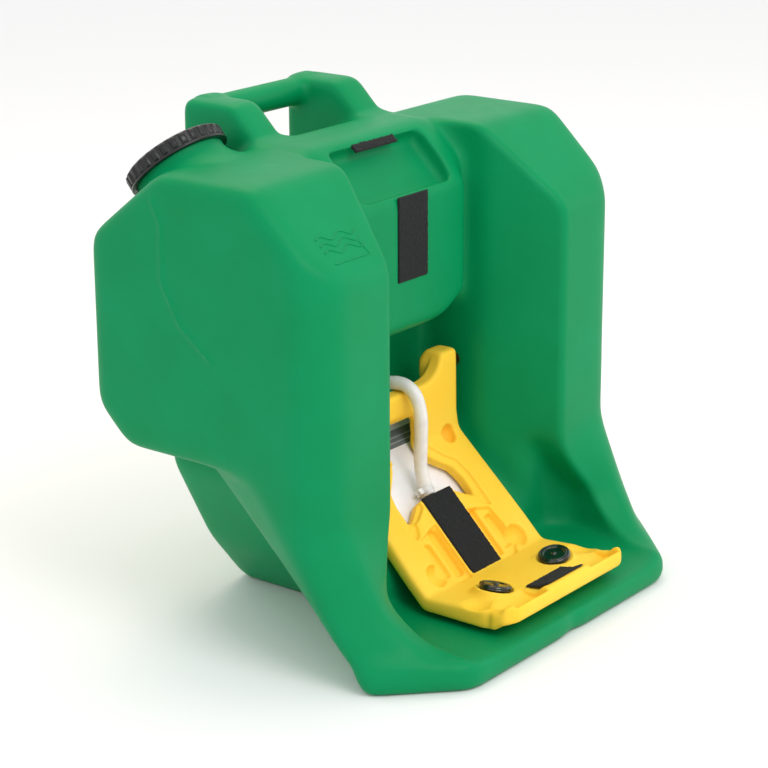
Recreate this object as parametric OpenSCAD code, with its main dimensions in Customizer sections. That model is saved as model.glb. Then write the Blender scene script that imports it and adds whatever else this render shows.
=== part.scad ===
// Portable gravity-fed eyewash station: a hollow moulded water tank with a
// recess in its front, and a fold-down arm that carries two eyewash nozzles.
// Millimetres. X is across, Y runs from the front (-) to the back (+), Z is up.

/* [Tank] */
// Width of the tank across both wings
tank_w = 572; // [500:2:690]
// Depth of the tank from the wings' front face to its back
tank_d = 325; // [300:1:400]
// Height of the flat top above the ground
tank_h = 534; // [500:1:620]
// How far the basin reaches in front of the wings
reach = 137; // [115:1:160]
// Height of the underside behind the legs
belly_z = 213; // [190:1:230]
// Thickness of the moulded wall
wall = 5; // [4:0.5:6]
// Run of the sloping face above the wings
front_run = 95; // [80:1:105]
// Drop of the sloping face above the wings
front_drop = 91; // [75:1:110]
// Run of the sloping face at the back of the top
rear_run = 101; // [90:1:110]
// Drop of the sloping face at the back of the top
rear_drop = 86; // [70:1:100]
// Bevel of the upright corners
corner = 29; // [20:1:36]
// Bevel along the lower rear edge
belly_bevel = 50; // [30:1:60]

/* [Basin] */
// Height of the basin's front lip
lip_z = 34; // [32:1:44]
// Depth of the basin floor below the lip
basin_dip = 2; // [1:0.5:6]
// Half width of the front edge at the ground
front_half = 183; // [165:1:200]
// Half width of the basin between the feet
basin_half = 203; // [190:1:215]
// Half width of the flat keel under the tank
keel_half = 98; // [80:1:120]
// Half width of the keel where it meets the tank
keel_top_half = 213; // [180:1:230]

/* [Recess] */
// Width of the recess at the wings' front face
recess_w = 332; // [320:1:350]
// Width of the recess at its back
throat_w = 252; // [244:1:262]
// Depth of the recess behind the wings' front face
recess_d = 118; // [112:1:125]
// Depth of the hollow below the nose
hollow_d = 176; // [170:1:185]
// Height of the hollow's ceiling
hollow_z = 305; // [296:1:312]
// Width of the nose in the recess
nose_w = 218; // [200:1:228]
// Height of the nose's top edge
nose_top = 478; // [460:1:485]
// Height where the nose's side edges end
nose_low = 338; // [325:1:350]

/* [Handle] */
// Height of the handle above the flat top
handle_rise = 42; // [36:1:60]
// Clear width between the handle's brackets
grip_w = 120; // [110:1:150]
// Width of one bracket
bracket_w = 50; // [36:1:60]
// Diameter of the grip
grip_dia = 32; // [28:1:36]

/* [Fill neck and cap] */
// Distance of the neck from the middle of the tank
neck_x = 190; // [180:1:200]
// Distance of the neck's axis down the rear sloping face
neck_along = 48; // [46:1:60]
// Outer diameter of the neck
neck_dia = 104; // [90:1:106]
// Wall of the neck
neck_wall = 6; // [5:0.5:8]
// Height of the neck above the sloping face
neck_rise = 33; // [28:1:40]
// Outer diameter of the cap
cap_dia = 120; // [112:1:124]
// Height of the cap's skirt
cap_skirt = 15; // [10:1:20]
// Thickness of the cap's top
cap_top = 3; // [2.5:0.5:5]
// Number of grip ribs on the cap
cap_ribs = 30; // [12:2:40]
// Thickness of the cap's gasket
gasket_t = 2; // [1.5:0.5:3]

/* [Arm] */
// Height of the arm's hinge above the ground
hinge_z = 245; // [240:1:250]
// Distance of the hinge behind the wings' front face
hinge_y = 130; // [126:1:134]
// Slope of the arm when it is pulled down
slope = 45; // [43:1:47]
// Distance from the hinge to the face of the arm's strip
face_n = 36; // [34:1:38]
// Thickness of the arm
arm_t = 18; // [16:1:19]
// Half width of the arm at its front
arm_half = 117; // [112:1:122]
// Half width of the arm at its ears
ear_half = 102; // [98:1:106]
// Width of one ear
ear_w = 30; // [24:1:34]
// Half width of the window in the arm
window_half = 64; // [56:1:70]
// Diameter of the hinge pins
pin_dia = 10; // [8:0.5:12]
// Free running clearance of the pins, on the radius
pin_play = 0.05; // [0.02:0.01:0.1]

/* [Nozzles] */
// Distance of each nozzle from the middle
nozzle_x = 60; // [56:1:64]
// Distance of the nozzles in front of the wings' front face
nozzle_y = 63; // [60:1:66]
// Inward tilt of the nozzles
nozzle_tilt = 14; // [8:1:18]
// Diameter of the dust caps
dust_dia = 38; // [34:1:40]
// Height of the dust caps
dust_t = 5.5; // [4.5:0.5:7]
// Outer diameter of the nozzle cups
cup_dia = 31; // [28:1:32]

/* [Supply tube] */
// Outer diameter of the silicone tube
tube_dia = 16; // [14:0.5:17]
// Wall of the silicone tube
tube_wall = 2; // [1.5:0.5:2.5]

/* [Fastening strips and labels] */
// Width of the hook and loop strips
strip_w = 56; // [45:1:60]
// Thickness of the hook and loop strips
strip_t = 2.2; // [1.8:0.1:2.5]
// Gap between the two strips when the arm is folded up
strip_gap = 0.6; // [0.4:0.1:1]
// Half width of the instruction label
label_half = 105; // [90:1:110]
// Thickness of the labels
label_t = 0.5; // [0.3:0.1:0.6]

/* [Hidden] */
$fn = 64;
seat = 0.3;                 // gap between pieces that touch across a joint
mid_y = (tank_d - reach) / 2;
half = tank_w / 2;
floor_z = lip_z - basin_dip;
rear_tilt = atan2(rear_drop, rear_run);
root2 = sqrt(2);

// Arm geometry, measured from the hinge axis
arm_face = face_n + strip_t;
face_c = hinge_z - hinge_y * tan(slope) - arm_face / cos(slope);   // face: z = y * tan + face_c
under_c = face_c - arm_t / cos(slope);
bed_gap = 4;
bed_c = under_c - bed_gap / cos(slope);
post_y = hinge_y - 23;       // front face of the arm's upright part
heel_y = -16;                // where the slope ends and the nozzle shelf starts
heel_z = heel_y * tan(slope) + face_c;
shelf_rise = 8;
toe_y = -122;
arm_foot = floor_z + seat;
nose_y = hinge_y - face_n + strip_gap + strip_t;
nose_run = tank_h - nose_top;

// Distances down the slope from the hinge
function down(y) = (hinge_y - y) * cos(slope) + (hinge_z - (y * tan(slope) + face_c)) * sin(slope);
heel_s = down(heel_y);
panel_s = 131;               // upper edge of the tray's centre panel
window_s = 64;               // upper edge of the window, on the slope
strip_len = heel_s - panel_s - 3;
barb_drop = arm_t / 2;       // tube axis below the arm's face

module in_frame() translate([0, -mid_y, 0]) children();

// Children drawn on the slope: x across, y up the slope, z out of the arm's face side
module on_slope(s, n = 0)
    translate([0, hinge_y, hinge_z]) rotate([slope, 0, 0]) translate([0, -s, n]) children();

module on_neck(h = 0)
    translate([-neck_x, tank_d - rear_run + neck_along * cos(rear_tilt),
        tank_h - neck_along * sin(rear_tilt)])
    rotate([-rear_tilt, 0, 0]) translate([0, 0, h]) children();

module on_nozzle(side, h = 0)
    translate([side * nozzle_x, -nozzle_y, shelf_z(-nozzle_y)]) rotate([0, -side * nozzle_tilt, 0])
    translate([0, 0, h]) children();

function shelf_z(y) = heel_z + shelf_rise * (heel_y - y) / (heel_y - toe_y);

// A side view (points are [y, z]) extruded across, centred on x, drawn in by g
module side_prism(points, across, g = 0)
    rotate([90, 0, 90]) translate([0, 0, g - across]) linear_extrude(2 * (across - g))
    offset(delta = -g) polygon(points);

// A plan view (points are [x, y]) extruded from z0 to z1, drawn in by g
module plan_prism(points, z0, z1, g = 0)
    translate([0, 0, z0]) linear_extrude(z1 - z0) offset(delta = -g) polygon(points);

// A front view (points are [x, z]) extruded from y0 to y1, drawn in by g
module front_prism(points, y0, y1, g = 0)
    translate([0, y1, 0]) rotate([90, 0, 0]) linear_extrude(y1 - y0)
    offset(delta = -g) polygon(points);

// A left point list and its mirror image, as one closed outline
function both(points) = concat(points,
    [for (i = [len(points) - 1:-1:0]) [-points[i].x, points[i].y]]);

// ---- Tank ----
leg_z = 200;
leg_rear_y = 80;
ridge_y = 172;
foot_rear_y = 50;
foot_corner_y = -47;
foot_front = reach - 24;
pocket_y = 34;               // back of the basin's side pockets

module plan_outline(z0, z1, g)
    plan_prism([[-half, corner], [corner - half, 0], [half - corner, 0], [half, corner],
        [half, tank_d - 14], [half - 14, tank_d], [14 - half, tank_d], [-half, tank_d - 14]],
        z0, z1, g);

module upper_body(g = 0) intersection() {
    side_prism([[0, leg_z - 5], [0, tank_h - front_drop], [front_run, tank_h],
        [tank_d - rear_run, tank_h], [tank_d, tank_h - rear_drop], [tank_d, belly_z + belly_bevel],
        [tank_d - belly_bevel, belly_z], [leg_rear_y + 7, belly_z], [leg_rear_y - 2, leg_z - 5]],
        half, g);
    plan_outline(0, tank_h + 1, g);
}

module leg(side, g = 0) hull() {
    plan_prism([[side * half, corner], [side * (half - corner), 0], [side * 130, 0],
        [side * 130, ridge_y + 18], [side * (half - 51), ridge_y + 18],
        [side * (half - 39), ridge_y], [side * half, leg_rear_y]], leg_z, leg_z + 40 - g, g);
    plan_prism([[side * half, foot_corner_y + 14], [side * (half - 86), -foot_front],
        [side * 130, -foot_front], [side * 130, foot_rear_y + 20],
        [side * (half - 96), foot_rear_y], [side * (half - 22), -18], [side * half, -30]],
        lip_z - 14, lip_z - 12, g);
}

module base(g = 0) hull() {
    plan_prism(both([[-half, foot_corner_y], [-front_half, -reach], [0, -reach],
        [0, foot_rear_y], [-half + 96, foot_rear_y], [-half + 24, foot_corner_y + 18]]),
        g, lip_z * 0.6, g);
    plan_prism(both([[-half + 12, foot_corner_y], [-front_half + 4, 8 - reach], [0, 8 - reach],
        [0, foot_rear_y], [-half + 96, foot_rear_y], [-half + 34, foot_corner_y + 18]]),
        g, lip_z - g, g);
}

module keel(g = 0) front_prism([[-keel_half, 0], [-keel_half - 57, 69],
    [-keel_top_half, belly_z - 36], [-keel_top_half, belly_z + 30],
    [keel_top_half, belly_z + 30], [keel_top_half, belly_z - 36], [keel_half + 57, 69],
    [keel_half, 0]], 10 + g, tank_d - 37 - g, g);

module handle(g = 0) {
    for (side = [-1, 1]) translate([side * (grip_w + bracket_w) / 2, 0, 0])
        side_prism([[tank_d - rear_run - 30, tank_h - 20], [tank_d - rear_run - 18, tank_h - 3],
            [tank_d - rear_run + 26, tank_h + handle_rise], [tank_d - 6, tank_h + handle_rise],
            [tank_d, tank_h + handle_rise - 6], [tank_d, tank_h - rear_drop - 6],
            [tank_d - 40, tank_h - rear_drop - 20]], bracket_w / 2, g);
    translate([-grip_w / 2 - 2 * wall, tank_d - grip_dia / 2 - 1,
        tank_h + handle_rise - grip_dia / 2 - 1])
        rotate([0, 90, 0]) cylinder(d = grip_dia - 2 * g, h = grip_w + 4 * wall);
}

module nose(g = 0) intersection() {
    side_prism([[nose_y, nose_low - 6], [nose_y, nose_top], [nose_y + nose_run, tank_h],
        [tank_d - rear_run, tank_h], [tank_d - rear_run, hollow_z + 8],
        [recess_d + 6, hollow_z]], nose_w / 2, g);
    front_prism(both([[-nose_w / 2, nose_low], [-nose_w / 2, tank_h + 50], [0, tank_h + 50],
        [0, hollow_z], [-nose_w / 5, hollow_z]]), 0, tank_d, g);
}

// The open space in front of the tank; g makes it larger all round
module recess(g = 0) {
    intersection() {
        side_prism([[-2 * reach, lip_z], [-reach + 12, lip_z], [-reach + 18, floor_z],
            [(floor_z - bed_c) / tan(slope), floor_z], [hollow_d, hollow_d * tan(slope) + bed_c],
            [hollow_d, hollow_z], [recess_d, hollow_z + 22],
            [recess_d, nose_top + (recess_d - nose_y)], [nose_y + nose_run, tank_h],
            [nose_y + nose_run + tank_h, 2 * tank_h], [-2 * reach, 2 * tank_h]], half, -g);
        plan_prism(both([[-recess_w / 2 - reach / 2, -2 * reach], [-recess_w / 2, 0],
            [-throat_w / 2, front_run], [-throat_w / 2, hollow_d + 3 * wall]]), -1, 3 * tank_h, -g);
    }
    intersection() {
        front_prism(both([[-basin_half, floor_z], [-basin_half, 74], [-recess_w / 2 + 6, 146],
            [0, 146], [0, floor_z]]), -2 * reach, pocket_y + g, -g);
        plan_prism(both([[-basin_half + 20, pocket_y], [-basin_half, pocket_y - 25],
            [-basin_half, -8], [-190, -70], [-158, -reach - 4], [-158, -2 * reach],
            [0, -2 * reach], [0, pocket_y]]), -1, 200, -g);
    }
}

// Dish in the nose's sloping face that clears the dust caps when the arm is folded up
dish_depth = 17;
dish_half = 86;
module nose_dish(g = 0) on_nose_slope() translate([-dish_half - g, 7 - g, -dish_depth - g])
    cube([2 * (dish_half + g), nose_run * root2 - 13 + 2 * g, 60]);

module on_nose_slope() translate([0, nose_y, nose_top])
    rotate([atan2(tank_h - nose_top, nose_run), 0, 0]) children();

module tank_form(g = 0) {
    difference() {
        union() {
            difference() {
                union() {
                    upper_body(g);
                    leg(-1, g);
                    leg(1, g);
                    base(g);
                    keel(g);
                }
                recess(g);
            }
            nose(g);
        }
        nose_dish(g);
    }
    handle(g);
}

boss_len = 22;
insert_len = boss_len - 4;
outlet_r = 13;

module tank_moulding() difference() {
    union() {
        difference() {
            tank_form();
            tank_form(wall);
        }
        on_neck(-8) cylinder(d = neck_dia, h = neck_rise + 8);
        on_neck(neck_rise - 14) cylinder(d = neck_dia + 3, h = 3);
        neck_lug();
        // solid moulded bosses around the threaded inserts
        translate([0, hollow_d + 1, hinge_z]) rotate([-90, 0, 0])
            cylinder(r = outlet_r + wall, h = boss_len);
        for (side = [-1, 1]) translate([side * (throat_w / 2 + 1), hinge_y, hinge_z])
            rotate([0, side * 90, 0]) cylinder(d = pin_dia + 18, h = boss_len);
    }
    on_neck(-3 * wall) cylinder(d = neck_dia - 2 * neck_wall, h = neck_rise + 4 * wall);
    translate([0, hollow_d - 5, hinge_z]) rotate([-90, 0, 0])
        cylinder(r = outlet_r, h = boss_len + 20);
    for (side = [-1, 1]) translate([side * (throat_w / 2 - 4), hinge_y, hinge_z])
        rotate([0, side * 90, 0]) cylinder(d = pin_dia + 8, h = insert_len + 4);
    neck_lug_hole();
}

// The tank is one moulding. It is drawn in zones, so that collision can follow each one's hollow.
zone_x = (nose_w + throat_w) / 4;
zone_z = leg_z - 14;

module zone(x0, x1, z0, z1) translate([x0, -2 * reach, z0])
    cube([x1 - x0, tank_d + 3 * reach, z1 - z0]);

// Space over the flat top and the rear sloping face
module over_top(x0, x1) translate([x0, 0, 0]) rotate([90, 0, 90]) linear_extrude(x1 - x0)
    polygon([[tank_d - rear_run - 60, tank_h + seat], [tank_d - rear_run, tank_h + seat],
        [tank_d + rear_run, tank_h + seat - 2 * rear_drop], [tank_d + rear_run, 2 * tank_h],
        [tank_d - rear_run - 60, 2 * tank_h]]);

module tank_part() color("seagreen") in_frame() intersection() {
    tank_moulding();
    children();
}

module tank_wing_left() tank_part() difference() {
    zone(-half - 1, -zone_x, zone_z, tank_h + 1);
    over_top(-half - 2, 1 - zone_x);
}
module tank_wing_right() tank_part() zone(zone_x, half + 1, zone_z, tank_h + 1);
module tank_leg_left() tank_part() zone(-half - 1, -zone_x, -1, zone_z);
module tank_leg_right() tank_part() zone(zone_x, half + 1, -1, zone_z);
module tank_middle() tank_part() difference() {
    zone(-zone_x, zone_x, zone_z, tank_h + 1);
    over_top(-zone_x - 1, zone_x + 1);
}
module tank_basin() tank_part() zone(-zone_x, zone_x, -1, zone_z);
module tank_handle() tank_part() over_top(-zone_x, zone_x);
module tank_neck() tank_part() over_top(-half - 1, -zone_x);

module neck_lug() on_neck(0) translate([-neck_dia / 2 - 14, 0, -1]) rotate([90, 0, 0])
    translate([0, 0, -2.5]) linear_extrude(5)
    polygon([[0, 0], [18, 0], [18, neck_rise - 16], [10, neck_rise - 16]]);

module neck_lug_hole() on_neck(neck_rise - 23) translate([-neck_dia / 2 - 3.6, 4, 0])
    rotate([90, 0, 0]) cylinder(d = 3.4, h = 8);

// ---- Cap ----
cap_play = 1;
module fill_cap() color([0.12, 0.12, 0.13]) in_frame() on_neck(neck_rise + gasket_t) difference() {
    union() {
        translate([0, 0, -cap_skirt]) cylinder(d = cap_dia - 3, h = cap_skirt + cap_top);
        translate([0, 0, -cap_skirt]) cylinder(d = cap_dia, h = 2.5);
        for (i = [0:cap_ribs - 1]) rotate([0, 0, i * 360 / cap_ribs])
            translate([cap_dia / 2 - 3, -2, -cap_skirt + 1])
                cube([2.4, 4, cap_skirt + cap_top - 2.5]);
        cylinder(d = 26, h = cap_top + 3);
    }
    translate([0, 0, -cap_skirt - 1])
        cylinder(d = neck_dia + 3 + 2 * cap_play, h = cap_skirt + 1);
    translate([0, 0, -1]) cylinder(d = 12, h = 12);
}

module cap_gasket() color("dimgray") in_frame() on_neck(neck_rise + seat) difference() {
    cylinder(d = neck_dia, h = gasket_t - seat - 0.1);
    translate([0, 0, -1]) cylinder(d = neck_dia - 2 * neck_wall + 1, h = gasket_t + 2);
}

module cap_vent() color("gray") in_frame() on_neck(neck_rise + gasket_t) difference() {
    union() {
        cylinder(d = 12, h = cap_top + 3);
        translate([0, 0, cap_top + 3]) cylinder(d = 18, h = 3);
        translate([0, 0, -3]) cylinder(d = 15, h = 3);
    }
    translate([0, 0, -4]) cylinder(d = 4, h = 9);
    for (a = [0:60:300]) rotate([0, 0, a]) translate([6, 0, cap_top + 4.5])
        rotate([0, 90, 0]) cylinder(d = 1.5, h = 5);
}

// ---- Outlet ----
barb_r = tube_dia / 2 - tube_wall;
stem_len = 32;               // barb length in front of the fitting's flange

module outlet_insert() color("goldenrod") in_frame() translate([0, hollow_d, hinge_z])
    rotate([-90, 0, 0]) difference() {
        cylinder(r = outlet_r, h = boss_len + 1);
        translate([0, 0, -1]) cylinder(r = 9, h = boss_len + 3);
    }

module outlet_fitting() color("gray") in_frame() translate([0, hollow_d, hinge_z])
    rotate([90, 0, 0]) difference() {
        union() {
            translate([0, 0, -14]) cylinder(r = 8.95, h = 16);
            translate([0, 0, 2]) cylinder(d = 26, h = 7, $fn = 6);
            cylinder(r = barb_r - 0.6, h = stem_len);
            for (k = [1:3]) translate([0, 0, stem_len - k * 6])
                cylinder(r1 = barb_r, r2 = barb_r - 0.6, h = 5);
        }
        translate([0, 0, -15]) cylinder(r = barb_r - 2.2, h = stem_len + 20);
    }

module outlet_oring() color("black") in_frame() translate([0, hollow_d, hinge_z])
    rotate([90, 0, 0]) rotate_extrude() translate([10.1, 1]) circle(r = 1, $fn = 24);

// ---- Hinge ----
module hinge_insert(side) color("goldenrod") in_frame()
    translate([side * (throat_w / 2), hinge_y, hinge_z]) rotate([0, side * 90, 0]) difference() {
        cylinder(d = pin_dia + 8, h = insert_len);
        translate([0, 0, -1]) cylinder(d = pin_dia + 2 * pin_play, h = insert_len - 1);
    }
module hinge_insert_left() hinge_insert(-1);
module hinge_insert_right() hinge_insert(1);

pin_in = ear_half - ear_w + 6;
module hinge_pin(side) color("silver") in_frame() translate([side * pin_in, hinge_y, hinge_z])
    rotate([0, side * 90, 0]) {
        cylinder(d = pin_dia, h = throat_w / 2 + insert_len - 4 - pin_in);
        translate([0, 0, ear_half - pin_in + 2]) cylinder(d = pin_dia + 8, h = 3);
    }
module hinge_pin_left() hinge_pin(-1);
module hinge_pin_right() hinge_pin(1);

// ---- Arm ----
ear_top = hinge_z + 24;
bar_top = hinge_z - tube_dia / 2 + 1;
bar_low = hinge_z - 45;
post_back = post_y + arm_t;

module arm_side() side_prism([[post_y, ear_top], [post_y, post_y * tan(slope) + face_c],
    [heel_y, heel_z], [toe_y, heel_z + shelf_rise], [toe_y - 4, heel_z + shelf_rise - 3],
    [toe_y - 4, heel_z + shelf_rise - 8], [toe_y + 16, heel_z + shelf_rise - 11],
    [toe_y + 22, arm_foot], [(arm_foot - under_c) / tan(slope), arm_foot],
    [post_back, post_back * tan(slope) + under_c], [post_back, ear_top]], arm_half + 1);

module arm_front_outline() front_prism(both([[-ear_half, ear_top + 1],
    [-ear_half - 1, hinge_z - 70], [-arm_half, heel_z + 10], [-arm_half, 0], [0, 0],
    [0, ear_top + 1]]), toe_y - 10, hinge_y + 40);

module arm_plan_outline() plan_prism(both([[-arm_half, hinge_y + 40], [-arm_half, toe_y + 26],
    [-arm_half + 14, toe_y - 4], [0, toe_y - 4], [0, hinge_y + 40]]), 0, ear_top + 2);

module ear_solid(side) translate([side * (ear_half - ear_w / 2), 0, 0]) rotate([90, 0, 90])
    translate([0, 0, -ear_w / 2]) linear_extrude(ear_w) hull() {
        translate([post_y, bar_low]) square([arm_t, 1]);
        translate([post_y + 6, ear_top - 6]) circle(r = 6);
        translate([hinge_y + 5, hinge_z + 8]) circle(r = 16);
        translate([hinge_y + 5, hinge_z - 8]) circle(r = 12);
    }

// Space between the ears above the crossbar, with rounded lower corners
module ear_gap() translate([0, hinge_y + 60, 0]) rotate([90, 0, 0]) linear_extrude(120)
    hull() {
        for (side = [-1, 1]) translate([side * (ear_half - ear_w - 18), bar_top + 18])
            circle(r = 18);
        translate([ear_w - ear_half, ear_top]) square([2 * (ear_half - ear_w), 5]);
    }

// Window through the slope and the foot of the upright part
module window() {
    on_slope(0, -arm_face - 2 * arm_t) linear_extrude(4 * arm_t) polygon(both([
        [-30, -window_s + 24], [-30, -window_s - 8], [-window_half + 4, -window_s - 34],
        [-window_half, -window_s - 46], [-window_half, -panel_s - 4], [0, -panel_s + 4]]));
    front_prism(both([[-32, bar_low - 90], [-32, bar_low - 6], [-26, bar_low], [0, bar_low],
        [0, bar_low - 90]]), post_y - 3, hinge_y + 40);
}

module arm_grooves(side) {
    on_slope(0, -arm_face) for (band = [[38, 8, 9], [50, 6, 6]])
        translate([side * band[0] - band[1], -heel_s + 4, -band[2]])
        cube([2 * band[1] - 1, heel_s - panel_s - 18, 20]);
    on_slope(87, -arm_face - 5) translate([side * 83, 0, 0]) cylinder(r = 7.5, h = 20);
    translate([side * 79, -2, heel_z + 8]) rotate([25, 0, 0]) translate([0, 0, -6])
        cylinder(r = 11, h = 30);
    translate([side * (arm_half - 12), -72, shelf_z(-72) - 6]) cylinder(r = 20, h = 40);
}

manifold_w = 34;
module manifold_room() {
    on_slope(0, -arm_face - arm_t - 6) translate([-manifold_w / 2, -heel_s + 2, 0])
        cube([manifold_w, heel_s - panel_s - 6, arm_t - 1]);
    on_slope(0, -arm_face - barb_drop) translate([0, -panel_s - 12, 0]) rotate([-90, 0, 0])
        cylinder(r = tube_dia / 2 + 1.5, h = 40);
    on_slope(0, -arm_face - barb_drop) translate([-tube_dia / 2 - 1.5, -panel_s - 12, -20])
        cube([tube_dia + 3, 40, 20]);
    translate([-nozzle_x - 8, -nozzle_y - 14, 0]) cube([2 * nozzle_x + 16, 28, arm_foot + 8]);
    translate([-manifold_w / 2 - 0.5, -nozzle_y - 13, 0])
        cube([manifold_w + 1, nozzle_y + heel_y + 35, arm_foot + 8]);
    linear_extrude(arm_foot + cover_t) manifold_plan(0.3);
}

cup_depth = 9.5;
module activation_arm() color("gold") in_frame() difference() {
    union() {
        intersection() {
            arm_side();
            arm_front_outline();
            arm_plan_outline();
        }
        for (side = [-1, 1]) {
            ear_solid(side);
            on_nozzle(side, -12) cylinder(d = dust_dia + 6, h = 12);
        }
    }
    ear_gap();
    window();
    for (side = [-1, 1]) {
        arm_grooves(side);
        on_nozzle(side, -cup_depth - 2) cylinder(d = cup_dia, h = 2 * cup_depth);
        on_nozzle(side, -1) cylinder(d = dust_dia + 1.5, h = 20);
        translate([side * pin_in, hinge_y, hinge_z]) rotate([0, side * 90, 0])
            cylinder(d = pin_dia, h = ear_w);
    }
    manifold_room();
    // keeps everything above the basin floor
    translate([-half, -reach, -50]) cube([tank_w, 2 * reach, 50 + arm_foot]);
    for (p = screw_spots) translate([p.x, p.y, 0]) cylinder(d = 3, h = arm_foot + 12);
}

// ---- Manifold under the arm ----
cover_t = 2.5;
screw_spots = [[-78, -nozzle_y + 21], [78, -nozzle_y + 21], [-27, -88], [27, -88], [-27, -24],
    [27, -24]];
duct_top = arm_foot + 8 - seat;
duct_half = nozzle_x - 10;
seal_t = 1;

module cup_rooms() for (side = [-1, 1])
    on_nozzle(side, -cup_depth - 2) cylinder(d = cup_dia + 0.6, h = 2 * cup_depth);

module manifold_body() {
    difference() {
        translate([-duct_half, -nozzle_y - 13, arm_foot + cover_t + seal_t])
            cube([2 * duct_half, 26, duct_top - arm_foot - cover_t - seal_t]);
        cup_rooms();
    }
    translate([-manifold_w / 2 + 1, -nozzle_y + 10, arm_foot + cover_t + seal_t])
        cube([manifold_w - 2, nozzle_y + heel_y + 12, duct_top - arm_foot - cover_t - seal_t - 0.4]);
    intersection() {
        on_slope(0, -arm_face - arm_t + 1) translate([-manifold_w / 2 + 2, -heel_s + 3, 0])
            cube([manifold_w - 4, heel_s - panel_s - 8, arm_t - 8]);
        translate([-half, -reach, arm_foot + cover_t + seal_t]) cube([tank_w, 2 * reach, tank_h]);
    }
    on_slope(0, -arm_face - barb_drop) translate([0, -panel_s - 11, 0]) rotate([-90, 0, 0]) {
        cylinder(r = barb_r - 0.6, h = 24);
        for (k = [1:2]) translate([0, 0, 24 - k * 6]) cylinder(r1 = barb_r, r2 = barb_r - 0.6, h = 5);
    }
}

module inlet_manifold() color("dimgray") in_frame() difference() {
    manifold_body();
    // water way: down the slope, then across to both cups
    on_slope(0, -arm_face - barb_drop) translate([0, -heel_s + 22, 0]) rotate([-90, 0, 0])
        cylinder(r = barb_r - 2.2, h = heel_s - panel_s + 20);
    translate([-nozzle_x, -nozzle_y, arm_foot + cover_t - 1])
        translate([0, -5, 0]) cube([2 * nozzle_x, 10, 4]);
    translate([-5, -nozzle_y, arm_foot + cover_t - 1]) cube([10, nozzle_y + heel_y + 9, 4]);
}

// Outline of the cover under the nozzles, grown all round
module manifold_plan(grow = 0) offset(delta = grow) union() {
    translate([-nozzle_x - 23, -nozzle_y - 17]) square([2 * nozzle_x + 46, 42]);
    translate([-33, -94]) square([66, 74]);
}

module manifold_seal() color("black") in_frame() difference() {
    translate([0, 0, arm_foot + cover_t]) linear_extrude(seal_t) difference() {
        translate([-duct_half, -nozzle_y - 13]) square([2 * duct_half, 26]);
        translate([-duct_half + 8, -nozzle_y - 5]) square([2 * duct_half - 16, 10]);
    }
    cup_rooms();
}

module manifold_cover() color([0.1, 0.1, 0.1]) in_frame() translate([0, 0, arm_foot])
    difference() {
        linear_extrude(cover_t) manifold_plan();
        for (p = screw_spots) translate([p.x, p.y, -1]) cylinder(d = 3, h = cover_t + 2);
    }

module manifold_screws() color("silver") in_frame() for (p = screw_spots)
    translate([p.x, p.y, arm_foot]) cylinder(d = 3, h = 10);

// ---- Nozzles ----
cup_floor = 1.5;
disc_t = 1.5;
plug_t = 2.5;
module nozzle_cup(side) color("goldenrod") in_frame() on_nozzle(side, -cup_depth) difference() {
    union() {
        cylinder(d = cup_dia - 0.2, h = cup_depth - 1);
        translate([0, 0, cup_depth - 1]) cylinder(d = dust_dia - 1, h = 1.5);
    }
    translate([0, 0, cup_floor]) cylinder(d = cup_dia - 5, h = cup_depth);
    translate([0, 0, -1]) cylinder(d = 10, h = cup_floor + 2);
}
module nozzle_cup_left() nozzle_cup(-1);
module nozzle_cup_right() nozzle_cup(1);

module flow_disc(side) color("gray") in_frame() on_nozzle(side, -cup_depth + cup_floor) difference() {
    cylinder(d = cup_dia - 5.2, h = disc_t);
    for (a = [0:45:315]) rotate([0, 0, a]) translate([8, 0, -1]) cylinder(d = 2.4, h = 4);
    translate([0, 0, -1]) cylinder(d = 3, h = 4);
}
module flow_disc_left() flow_disc(-1);
module flow_disc_right() flow_disc(1);

// A pad of open foam that evens out the stream
module strainer(side) color("whitesmoke") in_frame() on_nozzle(side, -cup_depth + cup_floor + disc_t)
    cylinder(d = cup_dia - 5.4, h = cup_depth - cup_floor - disc_t - plug_t - 0.4);
module strainer_left() strainer(-1);
module strainer_right() strainer(1);

module dust_cap(side) color([0.08, 0.09, 0.1]) in_frame() on_nozzle(side, 0.5 + seat) {
    difference() {
        union() {
            cylinder(d = dust_dia, h = 2.5);
            translate([0, 0, 2.5]) cylinder(d1 = dust_dia, d2 = dust_dia - 3, h = dust_t - 2.5);
        }
        translate([0, 0, dust_t - 0.8]) difference() {
            cylinder(d = dust_dia - 7, h = 2);
            translate([0, 0, -1]) cylinder(d = dust_dia - 14, h = 4);
        }
    }
    translate([0, 0, -plug_t]) cylinder(d = cup_dia - 5.6, h = plug_t + 0.2);
    translate([0, 0, dust_t]) cylinder(d = 5, h = 0.8);
}
module dust_cap_left() dust_cap(-1);
module dust_cap_right() dust_cap(1);

// ---- Supply tube ----
// Route in the middle plane as [y, z] before it is fitted between the two barbs
function slope_pt(s, n) = [hinge_y - s * cos(slope) - n * sin(slope),
    hinge_z - s * sin(slope) + n * cos(slope)];
tube_end = slope_pt(panel_s - 3, -arm_face - barb_drop);
tube_run = slope_pt(panel_s - 26, -arm_face - barb_drop);
tube_path = [[hollow_d - 12, hinge_z], [hollow_d - 28, hinge_z], [hollow_d - 44, hinge_z + 1.5],
    [hollow_d - 58, hinge_z + 3.5], [hollow_d - 70, hinge_z + 2.5], [hollow_d - 81, hinge_z - 4.5],
    [hollow_d - 88, hinge_z - 17], [hollow_d - 91, hinge_z - 33], [hollow_d - 91, hinge_z - 50],
    [hollow_d - 90, hinge_z - 66], [hollow_d - 89, hinge_z - 80], [hollow_d - 91, hinge_z - 94],
    tube_run, tube_end];
tube_sides = 12;

function unit(v) = v / norm(v);
function tangent(p, i) = unit(p[min(i + 1, len(p) - 1)] - p[max(i - 1, 0)]);
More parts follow.
